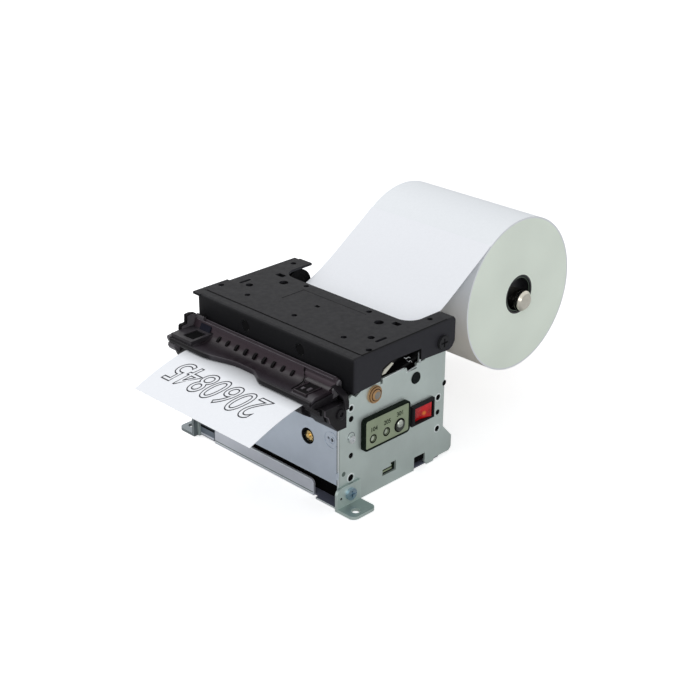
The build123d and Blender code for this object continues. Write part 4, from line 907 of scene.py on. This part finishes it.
# ---- status panel trim
status_low, status_high = box_of("status_panel")
RIM_MARGIN = 0.35 * MM
RIM_CORNER = 2.0 * MM
RIM_WIDTH = 1.3 * MM
RIM_SUNK = 2.2 * MM
RIM_PROUD = 2.45 * MM
STATUS_RINGS = ((21.7, 29.9, 2.2, 0.5), (30.5, 30.2, 2.2, 0.5), (39.2, 30.4, 3.5, 0.7))
STATUS_MARKS = (("104", 22.2, 34.6), ("205", 30.9, 35.1), ("306", 39.4, 36.3))
MARK_SIZE = 2.2
MARK_BOLD = 0.00007


def make_status_rim():
    """Rounded rim standing round the status panel."""
    low_y, high_y = status_low.y - RIM_MARGIN, status_high.y + RIM_MARGIN
    low_z, high_z = status_low.z - RIM_MARGIN, status_high.z + RIM_MARGIN
    lift = Vector((RIM_PROUD, 0, 0))
    rings = []
    for y, z, start in ((high_y, high_z, 0), (low_y, high_z, 90), (low_y, low_z, 180), (high_y, low_z, 270)):
        centre_y = y - math.copysign(RIM_CORNER, y - (low_y + high_y) / 2)
        centre_z = z - math.copysign(RIM_CORNER, z - (low_z + high_z) / 2)
        centre = Vector((status_high.x - RIM_SUNK, centre_y, centre_z))
        for step in range(5):
            angle = math.radians(start + 22.5 * step)
            out = Vector((0, math.cos(angle), math.sin(angle)))
            inner, outer = centre + out * (RIM_CORNER - RIM_WIDTH), centre + out * RIM_CORNER
            crest = inner + out * RIM_WIDTH * 0.3 + lift
            rings.append([inner, inner + lift * 0.8, crest, outer + lift * 0.9, outer])
    add_piece("status_rim", ring_loft(bmesh.new(), rings, closed=True), rim_dark)


def make_status_rings():
    """Dark rings of painted shade round the two lamps and the button."""
    for index, (depth, height, radius, wide) in enumerate(STATUS_RINGS):
        profile = [(radius - wide, 0.0), (radius, 0.0), (radius, 0.1), (radius - wide, 0.16)]
        centre = at(status_high.x / MM, depth, height)
        add_turned(f"status_ring_{index}", shade_black, "status_face", 40, (profile, centre))


def make_status_marks():
    """Small plain numbers lying on the status panel."""
    for index, (number, depth, height) in enumerate(STATUS_MARKS, 1):
        name = f"status_mark_{index}"
        shape = text_shape(
            name, number, size=MARK_SIZE * MM * 1.4, extrude=0.03 * MM, offset=MARK_BOLD,
            align_x="CENTER", align_y="CENTER",
        )
        centre = at(status_high.x / MM + 0.03, depth, height)
        for vert in shape.verts:
            vert.co = Vector((centre.x + vert.co.z, centre.y + vert.co.x, centre.z + vert.co.y))
        add_piece(name, shape, mark_ink)


make_status_rim()
make_status_rings()
make_status_marks()


# ---- dark linings, seams and small metal parts
SHADE_FILM_GAP = 1.2
PANEL_HOLES = (
    (9.6, 48.9, 1.3), (9.6, 43.6, 1.5), (9.6, 25.0, 1.4), (9.6, 13.5, 1.7),
    (68.3, 33.6, 1.5), (68.3, 25.7, 1.4), (68.3, 16.8, 1.5), (72.6, 39.7, 1.5),
)
LIPPED_HOLES = ((68.3, 33.6, 1.5), (68.3, 16.8, 1.5), (9.6, 48.9, 1.4), (9.6, 13.5, 1.8))
PINION_WINDOW = 6.5


def make_cover_shade_sheets():
    """Black sheets of painted shade: a film under the cover, a plate behind its side window for the mechanism
    in shade, and the guide's cheek; and the panel's finger in highlight zinc.
    """
    under = COVER_TOP - SHADE_FILM_GAP
    shade_film = (-47.0, 47.0, 14.0, 54.0, under - 0.25, under - 0.05)
    add_boxes("cover_shade_film", shade_black, "black_steel", 0.05, shade_film, body="cover")
    shade_sheet = (44.0, 44.6, 22.0, 54.0, COVER_TOP - 13.5, under - 0.4)
    add_boxes("window_shade_sheet", shade_black, "black_steel", 0.1, shade_sheet, body="cover")
    add_boxes("guide_cheek", shade_black, "black_plastic", 0.1, (45.0, 45.5, 31.0, 62.0, 50.5, 61.2))
    finger = (PANEL_INNER + 0.2, PANEL_OUTER, 54.2, 55.0, 56.4, 61.4)
    add_boxes("panel_finger", highlight_zinc, "zinc_steel", 0.15, finger)


def make_window_parts():
    """Return spring and painted highlights along the side panel's top edge seen through the cover's side
    window, and the latch's pale tip.
    """
    shape = bmesh.new()
    wire(shape, [(49.2, 44.4, 62.2), (49.3, 45.6, 61.2), (49.3, 47.2, 61.5), (49.2, 48.6, 60.7)], 0.26)
    wire(shape, [(49.2, 46.4, 60.2), (49.3, 47.4, 59.0), (49.3, 48.9, 59.3), (49.2, 49.8, 58.0)], 0.24)
    add_piece("latch_return_spring", shape, satin_steel)
    # Painted highlights along the side panel's top edge.
    glints = (
        [(29.6, 56.75), (43.7, 57.35), (43.7, 57.0), (29.6, 56.4)],
        [(45.3, 54.6), (52.6, 55.6), (52.6, 55.25), (45.3, 54.25)],
    )
    strips = [(49.5, PANEL_OUTER + 0.05, outline) for outline in glints]
    add_prisms("panel_glint", highlight_zinc, "zinc_steel", 0.05, *strips)
    tip = [(27.0, 60.0), (29.4, 60.1), (34.6, 63.4), (33.4, 64.2), (28.6, 62.2)]
    add_prisms("latch_tip", lever_tip, "white_plastic", 0.1, (51.65, 51.95, tip), body="latch")


def make_trough_edge():
    """Dark line of painted shade round the right end of the mouth's trough."""
    shape = wire(bmesh.new(), [
        (25.3, 4.6, 61.9), (25.5, 4.3, 60.9), (26.8, 3.2, 59.7), (28.4, 1.6, 59.1), (30.0, -1.0, 58.75),
        (30.7, -4.4, 58.6), (30.8, -8.6, 58.2),
    ], 0.3)
    add_piece("trough_edge", shape, mouth_dark)


def make_hub_details():
    """Black flange with a pale line in the roll's hole, its black standing for the hole's shade, and a dark
    ring of painted shade for the groove behind the spindle's end.
    """
    hub_low, hub_high = box_of("roll_hub")
    radius = (hub_high.y - hub_low.y) / 2 / MM
    face = Vector((roll_high.x - 0.8 * MM, roll_centre.y, (hub_low.z + hub_high.z) / 2))
    flange = flat_ring(radius - 0.8, radius + 0.05, 0.3)
    add_turned("hub_flange", hole_shade_black, "black_plastic", 48, (flange, face), body="roll")
    face.x += 0.3 * MM
    line = flat_ring(radius - 0.55, radius - 0.33, 0.04)
    add_turned("hub_line", hub_line, "black_plastic", 48, (line, face), body="roll")
    spindle_low, spindle_high = box_of("spindle")
    radius = (spindle_high.z - spindle_low.z) / 2 / MM
    centre = middle_of("spindle")
    centre.x = spindle_high.x - 2.6 * MM
    groove = flat_ring(radius - 0.3, radius + 0.05, 0.8)
    add_turned("spindle_groove", hole_shade_black, "chrome", 40, (groove, centre))


def make_cover_lines():
    """Dark strips of painted shade in the cover's top: along a pressed corner mark, the fold in front and the
    one at its right edge.
    """
    top = COVER_TOP + 0.03
    shape = bmesh.new()
    for low_x, high_x, low_d, high_d, low_z, high_z in (
        (-20.45, -19.95, 33.0, 47.6, top - 0.1, top),
        (-20.45, 22.0, 47.35, 47.65, top - 0.1, top),
        (-54.0, 50.6, 13.35, 13.8, top - 0.1, top),
        (COVER_RIGHT - 1.75, COVER_RIGHT - 1.1, 14.6, 70.5, top - 0.25, top + 0.01),
    ):
        prism_x(shape, low_x, high_x, rectangle(low_d, high_d, low_z, high_z))
    arc = ((50.4, 13.6), (51.0, 13.75), (51.5, 14.15), (51.75, 14.8))
    sections = [(x, rectangle(depth - 0.2, depth + 0.2, top - 0.1, top)) for x, depth in arc]
    ring_loft(shape, [[at(x, *point) for point in section] for x, section in sections])
    add_piece("cover_crease", rounded(shape, 0.02), hole_shade_black, "cover")


def make_corner():
    """Painted shade in the seam, a painted highlight along the edge, and the tab where the front and the
    right side panel meet.
    """
    low, high = 12.1, 40.2
    inner, outer, front = PANEL_INNER, PANEL_OUTER, PANEL_FRONT
    for name, surface, bevel, box in (
        ("corner_seam", gap_shade_grey, 0.03, (inner - 0.2, inner + 0.3, front - 0.06, front + 0.3, low, high)),
        ("corner_edge", highlight_zinc, 0.04, (inner + 0.3, outer, front - 0.06, front + 0.2, low - 0.1, high)),
        ("corner_tab", front_zinc, 0.3, (inner - 0.2, outer - 0.2, front - 0.9, front + 0.4, 15.6, 18.6)),
    ):
        add_boxes(name, surface, "zinc_steel", bevel, box)


def make_hole_shades():
    """Dark discs of painted shade inside the right side panel's holes, and the rivet near its front edge."""
    hole_shade_discs = []
    for depth, height, radius in PANEL_HOLES:
        profile = [(0.05, -0.1), (radius, -0.1), (radius, 0.1), (0.05, 0.16)]
        hole_shade_discs.append((profile, at(PANEL_OUTER - 0.4, depth, height)))
    add_turned("hole_shades", shade_black, "black_plastic", 24, *hole_shade_discs)
    rivet = [(0.05, 0.0), (1.2, 0.0), (1.1, 0.06), (0.05, 0.08)]
    add_turned("corner_rivet", dimple_grey, "zinc_steel", 24, (rivet, at(PANEL_OUTER, 5.0, 17.2)))


def make_bush_details():
    """Dark rings of painted shade in the gaps round the platen's bushes and shaft, and the clips' claws on
    the shaft's ends.
    """
    bush = middle_of("platen_bushes")
    claw = [(1.78, -0.02), (1.95, 0.04), (2.62, -0.5), (2.62, -0.74), (1.78, -0.1)]
    shade_rings, claws = [], []
    for side, shaft_end in zip((-1, 1), box_of("platen_shaft")):
        face = Vector((side * (PANEL_OUTER + 0.9) * MM, bush.y, bush.z))
        shade_rings.append((flat_ring(3.68, 3.95, 0.04), face.copy(), (side, 0, 0)))
        face.x += side * 0.65 * MM
        shade_rings.append((flat_ring(2.52, 3.05, 0.03), face, (side, 0, 0)))
        claws.append((claw, Vector((shaft_end.x, bush.y, bush.z)), (side, 0, 0)))
    add_turned("bush_gap", gap_shade_brown, "brass", 36, *shade_rings)
    add_turned("clip_claw", clip_gold, "brass", 36, *claws, body="platen")


def make_panel_details():
    """Raised lips of some holes in highlight zinc as painted highlights, bars of the socket, black sheets of
    painted shade in the notch and behind the pinion's window, and a dark disc of painted shade in the ear's
    slot.
    """
    lips = []
    for depth, height, radius in LIPPED_HOLES:
        profile = [(radius + 0.1, 0.0), (radius + 0.6, 0.0), (radius + 0.5, 0.08), (radius + 0.1, 0.08)]
        lips.append((profile, at(PANEL_OUTER, depth, height)))
    add_turned("hole_lips", highlight_zinc, "zinc_steel", 28, *lips)
    bars = [(48.9, 49.2, 31.4, 37.6, low_z, high_z) for low_z, high_z in ((6.9, 7.7), (8.5, 9.2))]
    add_boxes("usb_bars", status_olive, "zinc_steel", 0.1, *bars)
    add_boxes("notch_shade_sheet", shade_black, "black_plastic", 0.05, (48.9, 49.2, 52.6, 62.0, 3.4, 7.2))
    ear_face = (box_of("foot_bracket_right")[1].x - 10.5 * MM) / MM
    dimple = [(0.05, 0.0), (0.6, 0.0), (0.55, 0.04), (0.05, 0.05)]
    add_turned("ear_dimple", hole_shade_black, "zinc_steel", 20, (dimple, at(ear_face, 2.0, 6.1)))
    pinion = middle_of("cutter_pinion")
    x, z, half = pinion.x / MM, pinion.z / MM, PINION_WINDOW
    shade_sheet = (x - half, x + half, 8.7, 8.9, z - half, z + half)
    add_boxes("pinion_shade_sheet", shade_black, "black_plastic", 0.05, shade_sheet)


def make_pinion_shade_ring():
    """Flat black ring in the pinion's window, whose round hole lies off centre: painted shadow, a dark
    crescent beside the pinion.
    """
    pinion = middle_of("cutter_pinion")
    centre = Vector((pinion.x, panel_low.y - 0.1 * MM, pinion.z))
    outer, inner, shift, thick, steps = 3.98, 2.75, (0.95, 0.15), 0.06, 36
    rows = []
    for step in range(steps):
        angle = 2 * math.pi * step / steps
        out_x, out_z = math.cos(angle), math.sin(angle)
        rim, hole = (out_x * outer, out_z * outer), (out_x * inner + shift[0], out_z * inner + shift[1])
        corners = ((rim, 0), (hole, 0), (hole, thick), (rim, thick))
        rows.append([centre + Vector((x, back, z)) * MM for (x, z), back in corners])
    add_piece("pinion_shade_ring", ring_loft(bmesh.new(), rows, closed=True), shade_black)


def make_front_edges():
    """Painted highlights along the front lip and the tray, painted shade in the lip's bend, the lip's loose
    left end in a shaded copy of its zinc with painted shadow along its top, and a black sheet of painted
    shade behind the front.
    """
    lip_low, lip_high = box_of("front_lip")
    left, right, top = lip_low.x / MM, lip_high.x / MM, lip_high.z / MM
    front = (lip_low.y - DATUM_Y) / MM
    back = front + 0.2
    tray_low, tray_high = box_of("base_tray")
    tray, tray_top, tray_end = (tray_low.y - DATUM_Y) / MM, tray_high.z / MM, tray_high.x / MM - 0.2
    upper = (left + 0.2, right - 2.6, front - 0.05, back, top - 0.5, top - 0.05)
    lower = (left + 0.2, right - 0.4, front - 0.05, back, 0.9, 1.25)
    for name, surface, bevel, *boxes in (
        ("lip_edge", highlight_zinc, 0.03, upper, lower),
        # lip_bend: strip of painted shade along the lip's bend.
        ("lip_bend", dimple_grey, 0.03, (left + 0.2, right - 0.4, front - 0.04, back, 1.4, 1.8)),
        ("lip_left", lip_shaded, 0.25, (-48.6, left - 0.8, front + 0.3, front + 1.1, 1.05, 6.5)),
        ("lip_left_shadow", shade_black, 0.05, (-48.4, left - 1.0, front + 0.25, front + 0.6, 5.3, 6.4)),
        ("lip_left_edge", lip_zinc, 0.1, (-48.4, left - 1.0, back, front + 0.6, 1.1, 2.1)),
        ("tray_edge", highlight_zinc, 0.02, (36.2, tray_end, tray - 0.03, tray + 0.1, 0.15, tray_top - 0.1)),
    ):
        add_boxes(name, surface, "zinc_steel", bevel, *boxes)
    add_boxes("base_shade_sheet", shade_black, "black_plastic", 0.05, (-48.4, 48.4, 7.4, 7.6, tray_top, 11.8))


def make_screw_shadows():
    """Dark rings of painted shadow round two screw heads, and the domed cap of the button."""
    heads = ((1.95, at(PANEL_OUTER, 9.6, 34.7)), (3.05, at(PANEL_OUTER + 1.2, 8.0, 6.6)))
    shade_rings = [(flat_ring(radius, radius + 0.28, 0.05), centre) for radius, centre in heads]
    add_turned("screw_shadow_rings", gap_shade_grey, "bright_steel", 32, *shade_rings)
    dome = [(0.02, 0.0), (1.9, 0.0), (1.7, 0.3), (1.1, 0.52), (0.02, 0.6)]
    cap = (dome, at(53.2, 38.6, 31.6))
    add_turned("button_dome", silver_plastic, "silver_plastic", 40, cap, body="button")


make_cover_shade_sheets()
make_window_parts()
make_trough_edge()
make_hub_details()
make_cover_lines()
make_corner()
make_hole_shades()
make_bush_details()
make_panel_details()
make_pinion_shade_ring()
make_front_edges()
make_screw_shadows()


# ---- camera
AZIMUTH = math.radians(44.669)
ELEVATION = math.radians(24.910)
ROLL = math.radians(0.342)
CAMERA_PLACE = Vector((0.436757, -0.387667, 0.333297))
LENS = 71.85
SENSOR = 36.0


def make_camera():
    data = bpy.data.cameras.new("camera")
    data.sensor_width = SENSOR
    data.lens = LENS
    data.clip_start = 0.05
    data.clip_end = 20.0
    camera = new_object("camera", data)
    aim = Matrix.Rotation(AZIMUTH, 4, "Z") @ Matrix.Rotation(math.pi / 2 - ELEVATION, 4, "X")
    camera.matrix_world = Matrix.Translation(CAMERA_PLACE) @ aim @ Matrix.Rotation(ROLL, 4, "Z")
    bpy.context.scene.camera = camera


make_camera()


# ---- floor, world and lamps
FLOOR_GLOW = 0.64
LAMP_TARGET = (0, 0.05, 0.04)


def seen_by(tree, *rays):
    """Factor that is 1 for rays of these kinds and 0 for the others."""
    path = new_node(tree, "ShaderNodeLightPath")
    seen, *others = (path.outputs[f"Is {ray} Ray"] for ray in rays)
    for other in others:
        seen = new_node(tree, "ShaderNodeMath", {0: seen, 1: other}, operation="MAXIMUM").outputs[0]
    return seen


def make_world():
    """White studio that lights the object more softly than it looks."""
    world = bpy.data.worlds.new("studio")
    world.use_nodes = True
    bpy.context.scene.world = world
    tree = world.node_tree
    tree.nodes.clear()
    seen = seen_by(tree, "Camera", "Transmission", "Glossy")
    soft = new_node(tree, "ShaderNodeBackground", {"Color": (0.95, 0.97, 1.0, 1), "Strength": 0.45})
    white = new_node(tree, "ShaderNodeBackground", {"Color": (1, 1, 1, 1), "Strength": 1.0})
    mix = new_node(tree, "ShaderNodeMixShader", {0: seen, 1: soft.outputs[0], 2: white.outputs[0]})
    new_node(tree, "ShaderNodeOutputWorld", {0: mix.outputs[0]})


def make_floor():
    """Pale round floor: white where the camera looks at it, but for the object's own shadow."""
    mesh = bpy.data.meshes.new("floor")
    shape = bmesh.new()
    bmesh.ops.create_circle(shape, cap_ends=True, radius=6.0, segments=96)
    shape.to_mesh(mesh)
    shape.free()
    floor = new_object("floor", mesh)
    floor.location = (0, 0, -0.2 * MM)
    s = Surface("floor_white", (0.8, 0.8, 0.8, 1), 0.9, spec=0.0)
    s.set("Emission Color", (1, 1, 1, 1))
    seen = seen_by(s.tree, "Camera", "Transmission")
    s.set("Emission Strength", s.node("ShaderNodeMath", {0: seen, 1: FLOOR_GLOW}, operation="MULTIPLY")[0])
    mesh.materials.append(s.mat)


def make_lamp(name, place, size, power):
    """Round soft lamp aimed at the object."""
    data = bpy.data.lights.new(name, "AREA")
    data.shape = "DISK"
    data.size = size
    data.energy = power
    lamp = new_object(name, data)
    lamp.location = place
    lamp.rotation_mode = "QUATERNION"
    lamp.rotation_quaternion = (Vector(LAMP_TARGET) - Vector(place)).to_track_quat("-Z", "Y")


make_world()
make_floor()
make_lamp("key", (-0.55, -0.15, 1.05), 0.7, 6.2)
make_lamp("fill", (0.9, -0.75, 0.55), 0.8, 4.1)

scene = bpy.context.scene
scene.view_settings.view_transform = "Standard"
